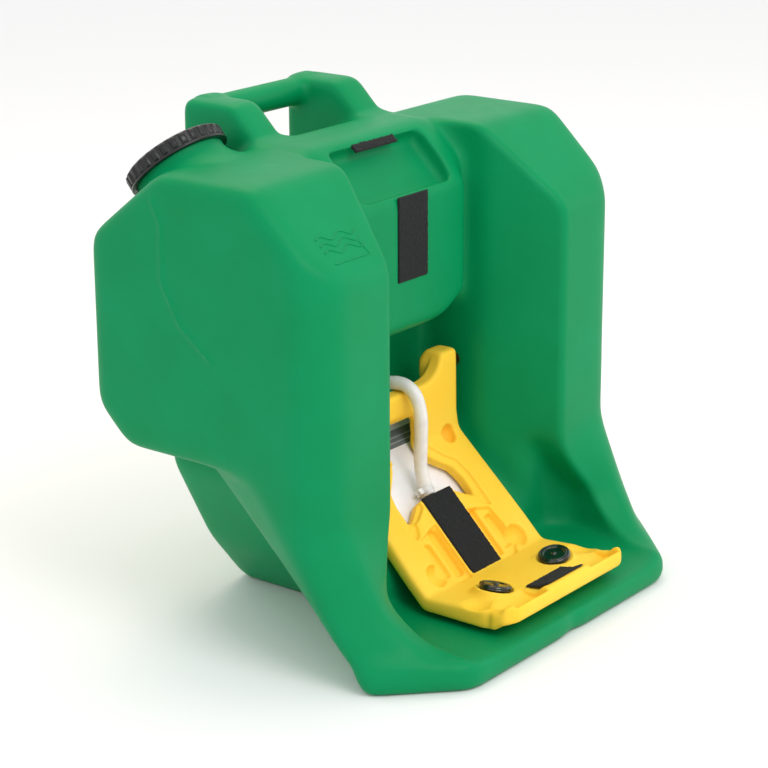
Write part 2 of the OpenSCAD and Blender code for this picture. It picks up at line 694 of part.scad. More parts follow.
// One ring of a tube that lies in the middle plane
function ring(p, i, r) = [for (k = [0:tube_sides - 1])
    let (a = k * 360 / tube_sides, t = tangent(p, i))
    [r * cos(a), p[i][0] - r * sin(a) * t[1], p[i][1] + r * sin(a) * t[0]]];

module tube_solid(p, r) {
    n = len(p);
    polyhedron([for (i = [0:n - 1]) each ring(p, i, r)], concat(
        [[for (k = [tube_sides - 1:-1:0]) k]],
        [for (i = [0:n - 2], k = [0:tube_sides - 1])
            let (a = i * tube_sides + k, b = i * tube_sides + (k + 1) % tube_sides)
            [b, b + tube_sides, a + tube_sides, a]],
        [[for (k = [0:tube_sides - 1]) (n - 1) * tube_sides + k]]));
}

module supply_tube() color("lavender") in_frame() difference() {
    tube_solid(tube_path, tube_dia / 2);
    tube_solid(concat([tube_path[0] + [1, 0]], [for (i = [1:len(tube_path) - 2]) tube_path[i]],
        [tube_end - [1, 1]]), tube_dia / 2 - tube_wall + 0.4);
}

module clamp_band() difference() {
    union() {
        cylinder(r = tube_dia / 2 + 1.6, h = 7);
        for (side = [-1, 1]) translate([side * 3 - 1, tube_dia / 2, 0]) cube([2, 7, 7]);
    }
    translate([0, 0, -1]) cylinder(r = tube_dia / 2 + 0.2, h = 9);
}
module tube_clamp_upper() color("silver") in_frame()
    translate([0, hollow_d - 17, hinge_z]) rotate([90, 0, 0]) clamp_band();
module tube_clamp_lower() color("silver") in_frame()
    on_slope(panel_s - 6, -arm_face - barb_drop) rotate([-90, 0, 0]) rotate([0, 0, 90])
    clamp_band();

// ---- Strips and labels ----
module arm_strip() color([0.1, 0.1, 0.11]) in_frame()
    on_slope(0, -arm_face) translate([-strip_w / 2, -heel_s + 3, 0])
    cube([strip_w, strip_len, strip_t]);

module lip_strip() color([0.1, 0.1, 0.11]) in_frame()
    translate([-37, 0, 0]) rotate([90, 0, 90]) linear_extrude(74)
    polygon([[toe_y + 6, shelf_z(toe_y + 6)], [toe_y + 30, shelf_z(toe_y + 30)],
        [toe_y + 28, shelf_z(toe_y + 30) + strip_t + 1], [toe_y + 16, shelf_z(toe_y + 16) + 5],
        [toe_y + 7, shelf_z(toe_y + 6) + strip_t]]);

module nose_strip() color([0.1, 0.1, 0.11]) in_frame()
    translate([-strip_w / 2, nose_y - strip_t, nose_top - 100]) cube([strip_w, strip_t, 100]);

module top_strip() color([0.1, 0.1, 0.11]) in_frame() {
    translate([-40, nose_y + nose_run + 0.6, tank_h]) cube([78, 16, strip_t]);
}

module instruction_label() color("white") in_frame() on_bed()
    translate([-label_half, -150, 0]) cube([2 * label_half, 142, label_t]);

module lower_label() color("dimgray") in_frame() on_bed()
    translate([-label_half, -174, 0]) cube([2 * label_half, 22, label_t]);

// The sloping bed behind the arm, from its top edge down
module on_bed() translate([0, hollow_d, hollow_d * tan(slope) + bed_c])
    rotate([slope, 0, 0]) translate([0, 0, 0.02]) children();

tank_wing_left();
tank_wing_right();
tank_leg_left();
tank_leg_right();
tank_middle();
tank_basin();
tank_handle();
tank_neck();
fill_cap();
cap_gasket();
cap_vent();
outlet_insert();
outlet_fitting();
outlet_oring();
hinge_insert_left();
hinge_insert_right();
activation_arm();
hinge_pin_left();
hinge_pin_right();
inlet_manifold();
manifold_seal();
manifold_cover();
manifold_screws();
nozzle_cup_left();
nozzle_cup_right();
flow_disc_left();
flow_disc_right();
strainer_left();
strainer_right();
dust_cap_left();
dust_cap_right();
supply_tube();
tube_clamp_upper();
tube_clamp_lower();
arm_strip();
lip_strip();
nose_strip();
top_strip();
instruction_label();
lower_label();
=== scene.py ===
"""Looks of a portable gravity-fed eyewash station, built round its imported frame.

Sizes are in millimetres in the tank's own frame: X is across, Y runs back from the wings' front
face and Z is up from the ground. Blender objects are in metres in the row's frame, MID_Y further
forward.
"""

import logging
import math
from dataclasses import dataclass, field
from enum import Enum
from typing import Callable, Optional, Sequence

import bpy
import numpy as np
import openvdb
from mathutils import Matrix, Vector

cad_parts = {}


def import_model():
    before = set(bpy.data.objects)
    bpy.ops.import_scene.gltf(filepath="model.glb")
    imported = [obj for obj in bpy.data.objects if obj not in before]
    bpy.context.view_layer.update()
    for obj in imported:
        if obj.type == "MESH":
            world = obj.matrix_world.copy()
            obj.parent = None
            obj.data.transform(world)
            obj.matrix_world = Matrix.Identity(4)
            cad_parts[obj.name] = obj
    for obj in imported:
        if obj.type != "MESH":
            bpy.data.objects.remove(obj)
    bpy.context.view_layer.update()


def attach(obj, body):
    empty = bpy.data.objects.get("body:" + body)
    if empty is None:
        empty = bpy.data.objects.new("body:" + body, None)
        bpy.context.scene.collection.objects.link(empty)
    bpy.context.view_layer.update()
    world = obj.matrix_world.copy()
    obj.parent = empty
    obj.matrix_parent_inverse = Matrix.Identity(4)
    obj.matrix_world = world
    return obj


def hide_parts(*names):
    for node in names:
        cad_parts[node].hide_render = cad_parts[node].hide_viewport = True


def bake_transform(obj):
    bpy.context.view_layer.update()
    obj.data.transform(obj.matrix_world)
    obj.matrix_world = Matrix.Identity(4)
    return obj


log = logging.getLogger("eyewash_station")

MID_Y = 94.0
MM = 0.001
# a Gaussian of this many sigma rounds an edge to a radius of one
SIGMAS_PER_RADIUS = 1.93
# how far out a Gaussian is summed, in sigmas
GAUSS_REACH = 2.6
Outline = Sequence[tuple[float, float]]
Array = np.ndarray


# ---------------------------------------------------------------- node and colour helpers


def linear(hex_colour: str) -> tuple[float, float, float, float]:
    """Turn an sRGB hex colour into Blender's linear colour.

    Args:
        hex_colour: six hex digits, red first.

    Returns:
        Linear red, green, blue and an alpha of 1.
    """
    parts = [int(hex_colour[i : i + 2], 16) / 255 for i in (0, 2, 4)]
    r, g, b = (c / 12.92 if c <= 0.04045 else ((c + 0.055) / 1.055) ** 2.4 for c in parts)
    return (r, g, b, 1.0)


def add_node(
    tree: bpy.types.NodeTree,
    kind: str,
    settings: Optional[dict[str, object]] = None,
    inputs: Optional[dict[object, object]] = None,
) -> bpy.types.Node:
    """Add one node with its settings, values and links.

    Args:
        tree: the node tree that gets the node.
        kind: Blender's name of the node type.
        settings: attributes of the node.
        inputs: input socket name or number to a value or to the output socket that feeds it.

    Returns:
        The new node.
    """
    node = tree.nodes.new(kind)
    for key, value in (settings or {}).items():
        setattr(node, key, value)
    for key, value in (inputs or {}).items():
        socket = node.inputs[key]
        if isinstance(value, bpy.types.NodeSocket):
            tree.links.new(value, socket)
        else:
            socket.default_value = value
    return node


def ramp(
    tree: bpy.types.NodeTree, source: bpy.types.NodeSocket, stops: Sequence[tuple[float, str]]
) -> bpy.types.NodeSocket:
    """Add a colour ramp and return its colour output.

    Args:
        tree: the node tree that gets the ramp.
        source: the output socket that drives it.
        stops: position and hex colour of each stop, two or more.

    Returns:
        The ramp's colour output.
    """
    node = add_node(tree, "ShaderNodeValToRGB", inputs={"Fac": source})
    elements = node.color_ramp.elements
    while len(elements) < len(stops):
        elements.new(0.5)
    for element, (position, colour) in zip(elements, stops):
        element.position = position
        element.color = linear(colour)
    return node.outputs["Color"]


# ---------------------------------------------------------------- finishes


@dataclass(frozen=True)
class Finish:
    """What one material is made of; subclasses add the nodes that their surface needs."""

    name: str
    slot: str

    def surface(self, tree: bpy.types.NodeTree, shader: bpy.types.Node) -> None:
        """Set the shader's values and link the pattern nodes."""
        raise NotImplementedError

    def material(self) -> bpy.types.Material:
        """Build the material, once for each finish.

        Returns:
            The finished material.
        """
        known = bpy.data.materials.get(self.name)
        if known is not None:
            return known
        material = bpy.data.materials.new(self.name)
        material.use_nodes = True
        tree = material.node_tree
        tree.nodes.clear()
        shader = add_node(tree, "ShaderNodeBsdfPrincipled")
        add_node(tree, "ShaderNodeOutputMaterial", inputs={"Surface": shader.outputs[0]})
        self.surface(tree, shader)
        return material

    def dress(self, piece: bpy.types.Object) -> bpy.types.Object:
        """Give a piece this finish.

        Args:
            piece: the object to dress.

        Returns:
            The same object.
        """
        piece.data.materials.clear()
        piece.data.materials.append(self.material())
        return piece

    def dress_node(self, *names: str) -> None:
        """Give carried-over CAD nodes this finish in the slots they have.

        Args:
            names: the nodes' names.
        """
        for name in names:
            piece = bpy.data.objects[name]
            if not piece.material_slots:
                piece.data.materials.append(None)
            for slot in piece.material_slots:
                slot.material = self.material()


def place_noise(
    tree: bpy.types.NodeTree, size_mm: float, detail: float = 2.0, roughness: float = 0.5
) -> bpy.types.NodeSocket:
    """Add noise fixed to the piece, with blobs of a real size.

    Args:
        tree: the node tree that gets the nodes.
        size_mm: distance between the blobs in millimetres.
        detail: octaves of finer noise.
        roughness: strength of the finer octaves.

    Returns:
        The noise's value output.
    """
    place = add_node(tree, "ShaderNodeTexCoord")
    noise = add_node(
        tree,
        "ShaderNodeTexNoise",
        inputs={
            "Vector": place.outputs["Object"],
            "Scale": 1 / (size_mm * MM),
            "Detail": detail,
            "Roughness": roughness,
        },
    )
    return noise.outputs["Fac"]


@dataclass(frozen=True)
class RotomouldedPolyethylene(Finish):
    """Linear polyethylene powder melted in a turning mould.

    The skin is satin, slightly waxy, with faint clouding of the pigment, a fine orange peel from
    the mould, and a light that gathers a little under the surface at edges.
    """

    base: str = "00864F"
    cloud: str = "008B55"
    roughness: float = 0.42
    peel_mm: float = 1.6
    scatter: float = 0.05
    gloss: float = 0.12

    def surface(self, tree: bpy.types.NodeTree, shader: bpy.types.Node) -> None:
        """Cloud the colour and roughen the skin with orange peel.

        Args:
            tree: the material's node tree.
            shader: the material's Principled shader.
        """
        clouds = place_noise(tree, 70.0, 3.0)
        colour = ramp(tree, clouds, [(0.3, self.base), (0.7, self.cloud)])
        tree.links.new(colour, shader.inputs["Base Color"])
        wear = add_node(
            tree,
            "ShaderNodeMapRange",
            inputs={
                "Value": place_noise(tree, 18.0, 4.0),
                "To Min": self.roughness - 0.04,
                "To Max": self.roughness + 0.06,
            },
        )
        tree.links.new(wear.outputs["Result"], shader.inputs["Roughness"])
        # the mould's peel, about 1.6 mm from bump to bump and 0.02 mm high
        peel = add_node(
            tree,
            "ShaderNodeBump",
            inputs={
                "Strength": 0.35,
                "Distance": 0.00012,
                "Height": place_noise(tree, self.peel_mm, 3.0, 0.6),
            },
        )
        tree.links.new(peel.outputs["Normal"], shader.inputs["Normal"])
        shader.inputs["IOR"].default_value = 1.5
        shader.inputs["Specular IOR Level"].default_value = self.gloss
        shader.inputs["Subsurface Weight"].default_value = self.scatter
        shader.inputs["Subsurface Radius"].default_value = (0.6, 1.0, 0.5)
        shader.inputs["Subsurface Scale"].default_value = 0.003


@dataclass(frozen=True)
class MouldedPolypropylene(Finish):
    """Injection moulded polypropylene or acetal: an even colour with a fine spark texture."""

    base: str = "0C0D0F"
    cloud: str = "131517"
    roughness: float = 0.35
    grain_mm: float = 0.8
    grain_depth: float = 0.00004
    coat: float = 0.0

    def surface(self, tree: bpy.types.NodeTree, shader: bpy.types.Node) -> None:
        """Vary the colour slightly and add the spark texture.

        Args:
            tree: the material's node tree.
            shader: the material's Principled shader.
        """
        colour = ramp(tree, place_noise(tree, 9.0, 3.0), [(0.3, self.base), (0.7, self.cloud)])
        tree.links.new(colour, shader.inputs["Base Color"])
        rough = add_node(
            tree,
            "ShaderNodeMapRange",
            inputs={
                "Value": place_noise(tree, 5.0, 4.0),
                "To Min": max(0.03, self.roughness - 0.05),
                "To Max": self.roughness + 0.06,
            },
        )
        tree.links.new(rough.outputs["Result"], shader.inputs["Roughness"])
        grain = add_node(
            tree,
            "ShaderNodeBump",
            inputs={
                "Strength": 0.5,
                "Distance": self.grain_depth,
                "Height": place_noise(tree, self.grain_mm, 2.0),
            },
        )
        tree.links.new(grain.outputs["Normal"], shader.inputs["Normal"])
        shader.inputs["IOR"].default_value = 1.49
        shader.inputs["Coat Weight"].default_value = self.coat


@dataclass(frozen=True)
class NylonHookPile(Finish):
    """Woven nylon tape with a napped pile: black and matt, with painted highlights speckled where
    loops catch light.
    """

    base: str = "020303"
    painted_glint_tip: str = "1E2226"
    loop_mm: float = 1.5

    def surface(self, tree: bpy.types.NodeTree, shader: bpy.types.Node) -> None:
        """Speckle the pile with painted highlights where loops catch light; loops are drawn 1.5 mm
        apart, coarser than real ones, to show.

        Args:
            tree: the material's node tree.
            shader: the material's Principled shader.
        """
        fine = place_noise(tree, self.loop_mm, 4.0, 0.8)
        # the lighter speckles are painted highlights on the loop tips
        colour = ramp(tree, fine, [(0.42, self.base), (0.72, self.painted_glint_tip)])
        tree.links.new(colour, shader.inputs["Base Color"])
        pile = add_node(
            tree,
            "ShaderNodeBump",
            inputs={"Strength": 1.0, "Distance": 0.0009, "Height": fine},
        )
        tree.links.new(pile.outputs["Normal"], shader.inputs["Normal"])
        shader.inputs["Roughness"].default_value = 0.95
        shader.inputs["Sheen Weight"].default_value = 0.03
        shader.inputs["Sheen Roughness"].default_value = 0.6


@dataclass(frozen=True)
class SiliconeTubing(Finish):
    """Extruded translucent silicone: milky, soft gloss, warm where it lies over the arm."""

    base: str = "F6F2EE"
    deep: str = "EAE5E6"

    def surface(self, tree: bpy.types.NodeTree, shader: bpy.types.Node) -> None:
        """Cloud the milky wall and let some light through it.

        Args:
            tree: the material's node tree.
            shader: the material's Principled shader.
        """
        colour = ramp(tree, place_noise(tree, 14.0, 3.0), [(0.3, self.deep), (0.7, self.base)])
        tree.links.new(colour, shader.inputs["Base Color"])
        wall = add_node(
            tree,
            "ShaderNodeBump",
            inputs={"Strength": 0.3, "Distance": 0.0001, "Height": place_noise(tree, 3.0, 2.0)},
        )
        tree.links.new(wall.outputs["Normal"], shader.inputs["Normal"])
        shader.inputs["Roughness"].default_value = 0.28
        shader.inputs["IOR"].default_value = 1.41
        shader.inputs["Transmission Weight"].default_value = 0.1
        shader.inputs["Subsurface Weight"].default_value = 0.5
        shader.inputs["Subsurface Radius"].default_value = (1.0, 0.9, 0.8)
        shader.inputs["Subsurface Scale"].default_value = 0.006


@dataclass(frozen=True)
class TurnedMetal(Finish):
    """Lathe-turned brass or stainless steel with fine rings left by the tool."""

    base: str = "B79A5B"
    bright: str = "CDB47A"
    roughness: float = 0.3

    def surface(self, tree: bpy.types.NodeTree, shader: bpy.types.Node) -> None:
        """Tint the metal and vary its polish.

        Args:
            tree: the material's node tree.
            shader: the material's Principled shader.
        """
        colour = ramp(tree, place_noise(tree, 4.0, 3.0), [(0.3, self.base), (0.7, self.bright)])
        tree.links.new(colour, shader.inputs["Base Color"])
        rough = add_node(
            tree,
            "ShaderNodeMapRange",
            inputs={
                "Value": place_noise(tree, 1.2, 2.0),
                "To Min": self.roughness - 0.08,
                "To Max": self.roughness + 0.1,
            },
        )
        tree.links.new(rough.outputs["Result"], shader.inputs["Roughness"])
        shader.inputs["Metallic"].default_value = 1.0


@dataclass(frozen=True)
class NitrileRubber(Finish):
    """Moulded nitrile rubber: deep black with a dusty bloom."""

    base: str = "121314"
    bloom: str = "26282A"

    def surface(self, tree: bpy.types.NodeTree, shader: bpy.types.Node) -> None:
        """Dust the rubber with bloom."""
        colour = ramp(tree, place_noise(tree, 6.0, 4.0), [(0.35, self.base), (0.75, self.bloom)])
        tree.links.new(colour, shader.inputs["Base Color"])
        shader.inputs["Roughness"].default_value = 0.7


@dataclass(frozen=True)
class OpenFoam(Finish):
    """Reticulated foam pad: pale and matt, full of 1 mm cells whose open middles get painted
    shade.
    """

    base: str = "C9C8C2"
    pore_shade: str = "8D8C86"

    def surface(self, tree: bpy.types.NodeTree, shader: bpy.types.Node) -> None:
        """Draw the cells with a Voronoi pattern, darker towards each cell's middle as painted
        shade in the pores.

        Args:
            tree: the material's node tree.
            shader: the material's Principled shader.
        """
        place = add_node(tree, "ShaderNodeTexCoord")
        cells = add_node(
            tree,
            "ShaderNodeTexVoronoi",
            inputs={"Vector": place.outputs["Object"], "Scale": 1000.0},
        )
        # painted shade: each cell darkens towards its middle, where the open pore is
        colour = ramp(tree, cells.outputs["Distance"], [(0.1, self.pore_shade), (0.6, self.base)])
        tree.links.new(colour, shader.inputs["Base Color"])
        shader.inputs["Roughness"].default_value = 0.9


@dataclass(frozen=True)
class LaminatedVinyl(Finish):
    """Printed vinyl under a clear laminate, with plain bands printed across it.

    Each band starts at a height in metres from the ground and runs up to the next one.
    """

    ground: str = "EFEFF6"
    bands: tuple[tuple[float, str], ...] = ()

    def surface(self, tree: bpy.types.NodeTree, shader: bpy.types.Node) -> None:
        """Print the bands and give the laminate its soft gloss.

        Args:
            tree: the material's node tree.
            shader: the material's Principled shader.
        """
        place = add_node(tree, "ShaderNodeTexCoord")
        axes = add_node(tree, "ShaderNodeSeparateXYZ", inputs={"Vector": place.outputs["Object"]})
        last = ramp(tree, place_noise(tree, 25.0, 3.0), [(0.3, self.ground), (0.7, "FAFAFE")])
        for low, colour in self.bands:
            above = add_node(
                tree,
                "ShaderNodeMath",
                {"operation": "GREATER_THAN"},
                {0: axes.outputs["Z"], 1: low},
            )
            mix = add_node(
                tree,
                "ShaderNodeMix",
                {"data_type": "RGBA"},
                {0: above.outputs[0], 6: last, 7: linear(colour)},
            )
            last = mix.outputs[2]
        tree.links.new(last, shader.inputs["Base Color"])
        shader.inputs["Roughness"].default_value = 0.38


TANK_GREEN = RotomouldedPolyethylene("rotomoulded_green_polyethylene", "tank_plastic")
ARM_YELLOW = RotomouldedPolyethylene(
    "rotomoulded_yellow_polyethylene",
    "arm_plastic",
    base="FFCB3A",
    cloud="FFD248",
    roughness=0.45,
    peel_mm=1.3,
    scatter=0.12,
)
CAP_BLACK = MouldedPolypropylene("moulded_black_polypropylene", "black_plastic", roughness=0.32)
DUST_BLACK = MouldedPolypropylene(
    "polished_black_polypropylene",
    "gloss_black",
    base="0B1412",
    cloud="101A18",
    roughness=0.12,
    coat=0.5,
)
FITTING_GREY = MouldedPolypropylene(
    "moulded_grey_acetal", "grey_plastic", base="5E6164", cloud="686B6E", roughness=0.4
)
PILE = NylonHookPile("napped_nylon_pile", "hook_loop")
TUBING = SiliconeTubing("extruded_milky_silicone", "silicone")
BRASS = TurnedMetal("turned_brass", "brass")
STEEL = TurnedMetal("turned_stainless_steel", "steel", base="8F9193", bright="B4B6B8")
RUBBER = NitrileRubber("moulded_nitrile_rubber", "black_rubber")
FOAM = OpenFoam("reticulated_foam", "foam")
# painted shade: the hinge pins' steel is made dark so they pass as the shade between the arm's
# ears and the tank wall
PIN_SHADE_STEEL = TurnedMetal(
    "blackened_steel", "steel", base="2C2D2F", bright="3A3B3D", roughness=0.45
)
LABEL = LaminatedVinyl(
    "laminated_white_vinyl",
    "label",
    bands=((0.1625, "6F777D"), (0.1660, "A4ABB0"), (0.1672, "6F777D"), (0.1705, "A4ABB0"),
           (0.1717, "6F777D"), (0.1775, "D8DCE0")),
)
LOWER_LABEL = LaminatedVinyl(
    "laminated_grey_vinyl",
    "label_dark",
    ground="3E464C",
    bands=((0.0735, "C9CED2"), (0.0750, "3E464C"), (0.0785, "C9CED2"), (0.0800, "3E464C")),
)


class Side(Enum):
    """Which side of the middle plane a piece is on."""

    LEFT = -1
    RIGHT = 1


# ---------------------------------------------------------------- solid forms


def outline_field(u: Array, v: Array, outline: Outline) -> Array:
    """Signed distance from a grid of plane points to a closed outline.

    Args:
        u: grid values along the first axis.
        v: grid values along the second axis.
        outline: the corners in order.

    Returns:
        A 2-D array, negative inside.
    """
    pu, pv = np.meshgrid(u, v, indexing="ij")
    nearest = np.full(pu.shape, 1e12)
    inside = np.zeros(pu.shape, bool)
    corners = list(outline)
    for (au, av), (bu, bv) in zip(corners, corners[1:] + corners[:1]):
        eu, ev = bu - au, bv - av
        wu, wv = pu - au, pv - av
        along = np.clip((wu * eu + wv * ev) / (eu * eu + ev * ev), 0, 1)
        nearest = np.minimum(nearest, (wu - along * eu) ** 2 + (wv - along * ev) ** 2)
        if ev:
            spans = (pv >= min(av, bv)) & (pv < max(av, bv))
            inside ^= spans & (pu < au + (pv - av) * eu / ev)
    return np.where(inside, -1.0, 1.0) * np.sqrt(nearest)


def mirrored(half: Outline) -> list[tuple[float, float]]:
    """Close a half outline on the +X side with its mirror image."""
    return list(half) + [(-x, y) for x, y in reversed(half)]


def join(a: Array, b: Array, fillet: float) -> Array:
    """Unite two fields with a round fillet of that radius in mm."""
    return np.maximum(fillet, np.minimum(a, b)) - np.hypot(
        np.maximum(fillet - a, 0), np.maximum(fillet - b, 0)
    )


def cut(a: Array, b: Array, edge: float) -> Array:
    """Take field b away from field a, with a round edge of that radius in mm."""
    return -join(-a, b, edge)


@dataclass
class Block:
    """A block of sample points, mirrored about X = 0, in which solid forms are worked out.

    Every form is a field in mm that is negative inside the solid.
    """

    low: tuple[float, float, float]
    high: tuple[float, float, float]
    step: float
    x: Array = field(init=False)
    y: Array = field(init=False)
    z: Array = field(init=False)
    margin: int = field(init=False)

    def __post_init__(self) -> None:
        """Lay out the sample points, with a margin on the far side of the mirror plane."""
        self.margin = 8
        self.x = np.arange(-self.margin, math.ceil(self.high[0] / self.step) + 1) * self.step
        self.y = np.arange(self.low[1], self.high[1] + self.step, self.step)
        self.z = np.arange(self.low[2], self.high[2] + self.step, self.step)

    @property
    def gx(self) -> Array:
        """X of every sample point, folded to the + side."""
        return np.abs(self.x)[:, None, None]

    @property
    def gy(self) -> Array:
        """Y of every sample point."""
        return self.y[None, :, None]

    @property
    def gz(self) -> Array:
        """Z of every sample point."""
        return self.z[None, None, :]

    def side(self, outline: Outline, half: float) -> Array:
        """A side view, corners as (y, z), extruded across to X = half on both sides."""
        return np.maximum(
            outline_field(self.y, self.z, outline)[None, :, :], self.gx - half
        ).astype(np.float32)

    def plan(self, outline: Outline) -> Array:
        """A plan, corners as (x, y), without end."""
        return outline_field(np.abs(self.x), self.y, outline)[:, :, None].astype(np.float32)

    def front(self, outline: Outline) -> Array:
        """A front view, corners as (x, z), without end."""
        return outline_field(np.abs(self.x), self.z, outline)[:, None, :].astype(np.float32)

    def loft(self, low: float, high: float, plan_at: Callable[[float], Outline]) -> Array:
        """A form between two heights whose plan changes with height.

        Args:
            low: height of the bottom.
            high: height of the top.
            plan_at: gives the plan's corners as (x, y) at a height.

        Returns:
            The form's field.
        """
        form = np.empty((len(self.x), len(self.y), len(self.z)), np.float32)
        for k, z in enumerate(self.z):
            here = plan_at(min(max(z, low), high))
            form[:, :, k] = outline_field(np.abs(self.x), self.y, here)
        ends = np.maximum(low - self.gz, self.gz - high).astype(np.float32)
        return np.maximum(form * 0.93, ends)

    def soften(self, form: Array, radius: float) -> Array:
        """Round every edge and corner of a form, inside and outside, to about that radius.

        Args:
            form: the form's field.
            radius: the edges' radius in mm.

        Returns:
            The softened field.
        """
        sigma = radius / SIGMAS_PER_RADIUS / self.step
        taps = int(math.ceil(GAUSS_REACH * sigma))
        weights = np.exp(-0.5 * (np.arange(-taps, taps + 1) / sigma) ** 2)
        weights = (weights / weights.sum()).astype(np.float32)
        for axis in range(3):
            padded = np.pad(
                form, [(taps, taps) if a == axis else (0, 0) for a in range(3)], mode="edge"
            )
            size = form.shape[axis]
            total = np.zeros_like(form)
            for k, weight in enumerate(weights):
                total += weight * np.take(padded, range(k, k + size), axis=axis)
            form = total
        return form

    def skin(
        self,
        form: Array,
        name: str,
        left_side: Optional[Callable[[Array, Array, Array, Array], Array]] = None,
    ) -> bpy.types.Object:
        """Turn a form into a mesh object in the row's frame.

        Args:
            form: the mirrored form.
            name: the object's name.
            left_side: changes the form on the left only, from its X, Y, Z and field, or None.

        Returns:
            The new object, smooth shaded.
        """
        right = form[self.margin :]
        left = right
        if left_side is not None:
            x = -self.x[self.margin :, None, None]
            left = left_side(x, self.gy, self.gz, right)
        full = np.concatenate([left[:0:-1], right], axis=0)
        limit = 3 * self.step
        grid = openvdb.FloatGrid(limit)
        grid.copyFromArray(np.clip(full, -limit, limit).astype(np.float32))
        points, triangles, quads = grid.convertToPolygons(isovalue=0.0, adaptivity=0.0)
        origin = np.array([-(len(right) - 1) * self.step, self.y[0] - MID_Y, self.z[0]])
        corners = (np.asarray(points) * self.step + origin) * MM
        return mesh_object(name, corners, [*np.asarray(quads), *np.asarray(triangles)])


def mesh_object(name: str, corners: Array, faces: Sequence[Sequence[int]]) -> bpy.types.Object:
    """Make a smooth-shaded mesh object and link it to the scene.

    Args:
        name: the object's name.
        corners: vertex positions in metres, in the row's frame.
        faces: vertex numbers of each face.

    Returns:
        The new object.
    """
    mesh = bpy.data.meshes.new(name)
    mesh.from_pydata(np.asarray(corners, float).tolist(), [], [list(map(int, f)) for f in faces])
    mesh.validate()
    mesh.update()
    if signed_volume(mesh) < 0:
        mesh.flip_normals()
    mesh.polygons.foreach_set("use_smooth", [True] * len(mesh.polygons))
    piece = bpy.data.objects.new(name, mesh)
    bpy.context.scene.collection.objects.link(piece)
    return piece


def signed_volume(mesh: bpy.types.Mesh) -> float:
    """Volume that the mesh's faces enclose, negative when they face inwards.

    Args:
        mesh: the mesh.

    Returns:
        The volume in cubic metres.
    """
    mesh.calc_loop_triangles()
    co = np.empty(len(mesh.vertices) * 3)
    mesh.vertices.foreach_get("co", co)
    co = co.reshape(-1, 3)
    tri = np.empty(len(mesh.loop_triangles) * 3, np.int32)
    mesh.loop_triangles.foreach_get("vertices", tri)
    a, b, c = (co[tri[k::3]] for k in range(3))
    return float(np.einsum("ij,ij->i", a, np.cross(b, c)).sum() / 6)


def turned(
    name: str,
    profile: Outline,
    axis: Matrix,
    sides: int = 96,
    swell: Optional[Array] = None,
) -> bpy.types.Object:
    """Turn a profile round an axis.

    Args:
        name: the object's name.
        profile: (radius, height) in mm, closed on the axis at both ends or into a loop.
        axis: places the piece, its Z along the axis, in mm in the tank's frame.
        sides: how many steps go round.
        swell: mm added to the radius for each step round and profile point, or None.

    Returns:
        The new object.
    """
    angles = np.arange(sides) * 2 * math.pi / sides
    radii = np.tile(np.array([p[0] for p in profile], float), (sides, 1))
    if swell is not None:
        radii = radii + swell
    heights = np.tile(np.array([p[1] for p in profile], float), (sides, 1))
    points = np.stack(
        [radii * np.cos(angles)[:, None], radii * np.sin(angles)[:, None], heights], axis=-1
    ).reshape(-1, 3)
    count = len(profile)
    faces = []
    for a in range(sides):
        b = (a + 1) % sides
        for k in range(count):
            m = (k + 1) % count
            faces.append((a * count + k, b * count + k, b * count + m, a * count + m))
    return mesh_object(name, place(points, axis), faces)


def place(points: Array, axis: Matrix) -> Array:
    """Move points in mm through a tank-frame matrix into metres in the row's frame.

    Args:
        points: points in mm.
        axis: the matrix.

    Returns:
        Points in metres in the row's frame.
    """
    m = np.array(axis, float)
    moved = points @ m[:3, :3].T + m[:3, 3]
    moved[:, 1] -= MID_Y
    return moved * MM


# ---------------------------------------------------------------- the tank


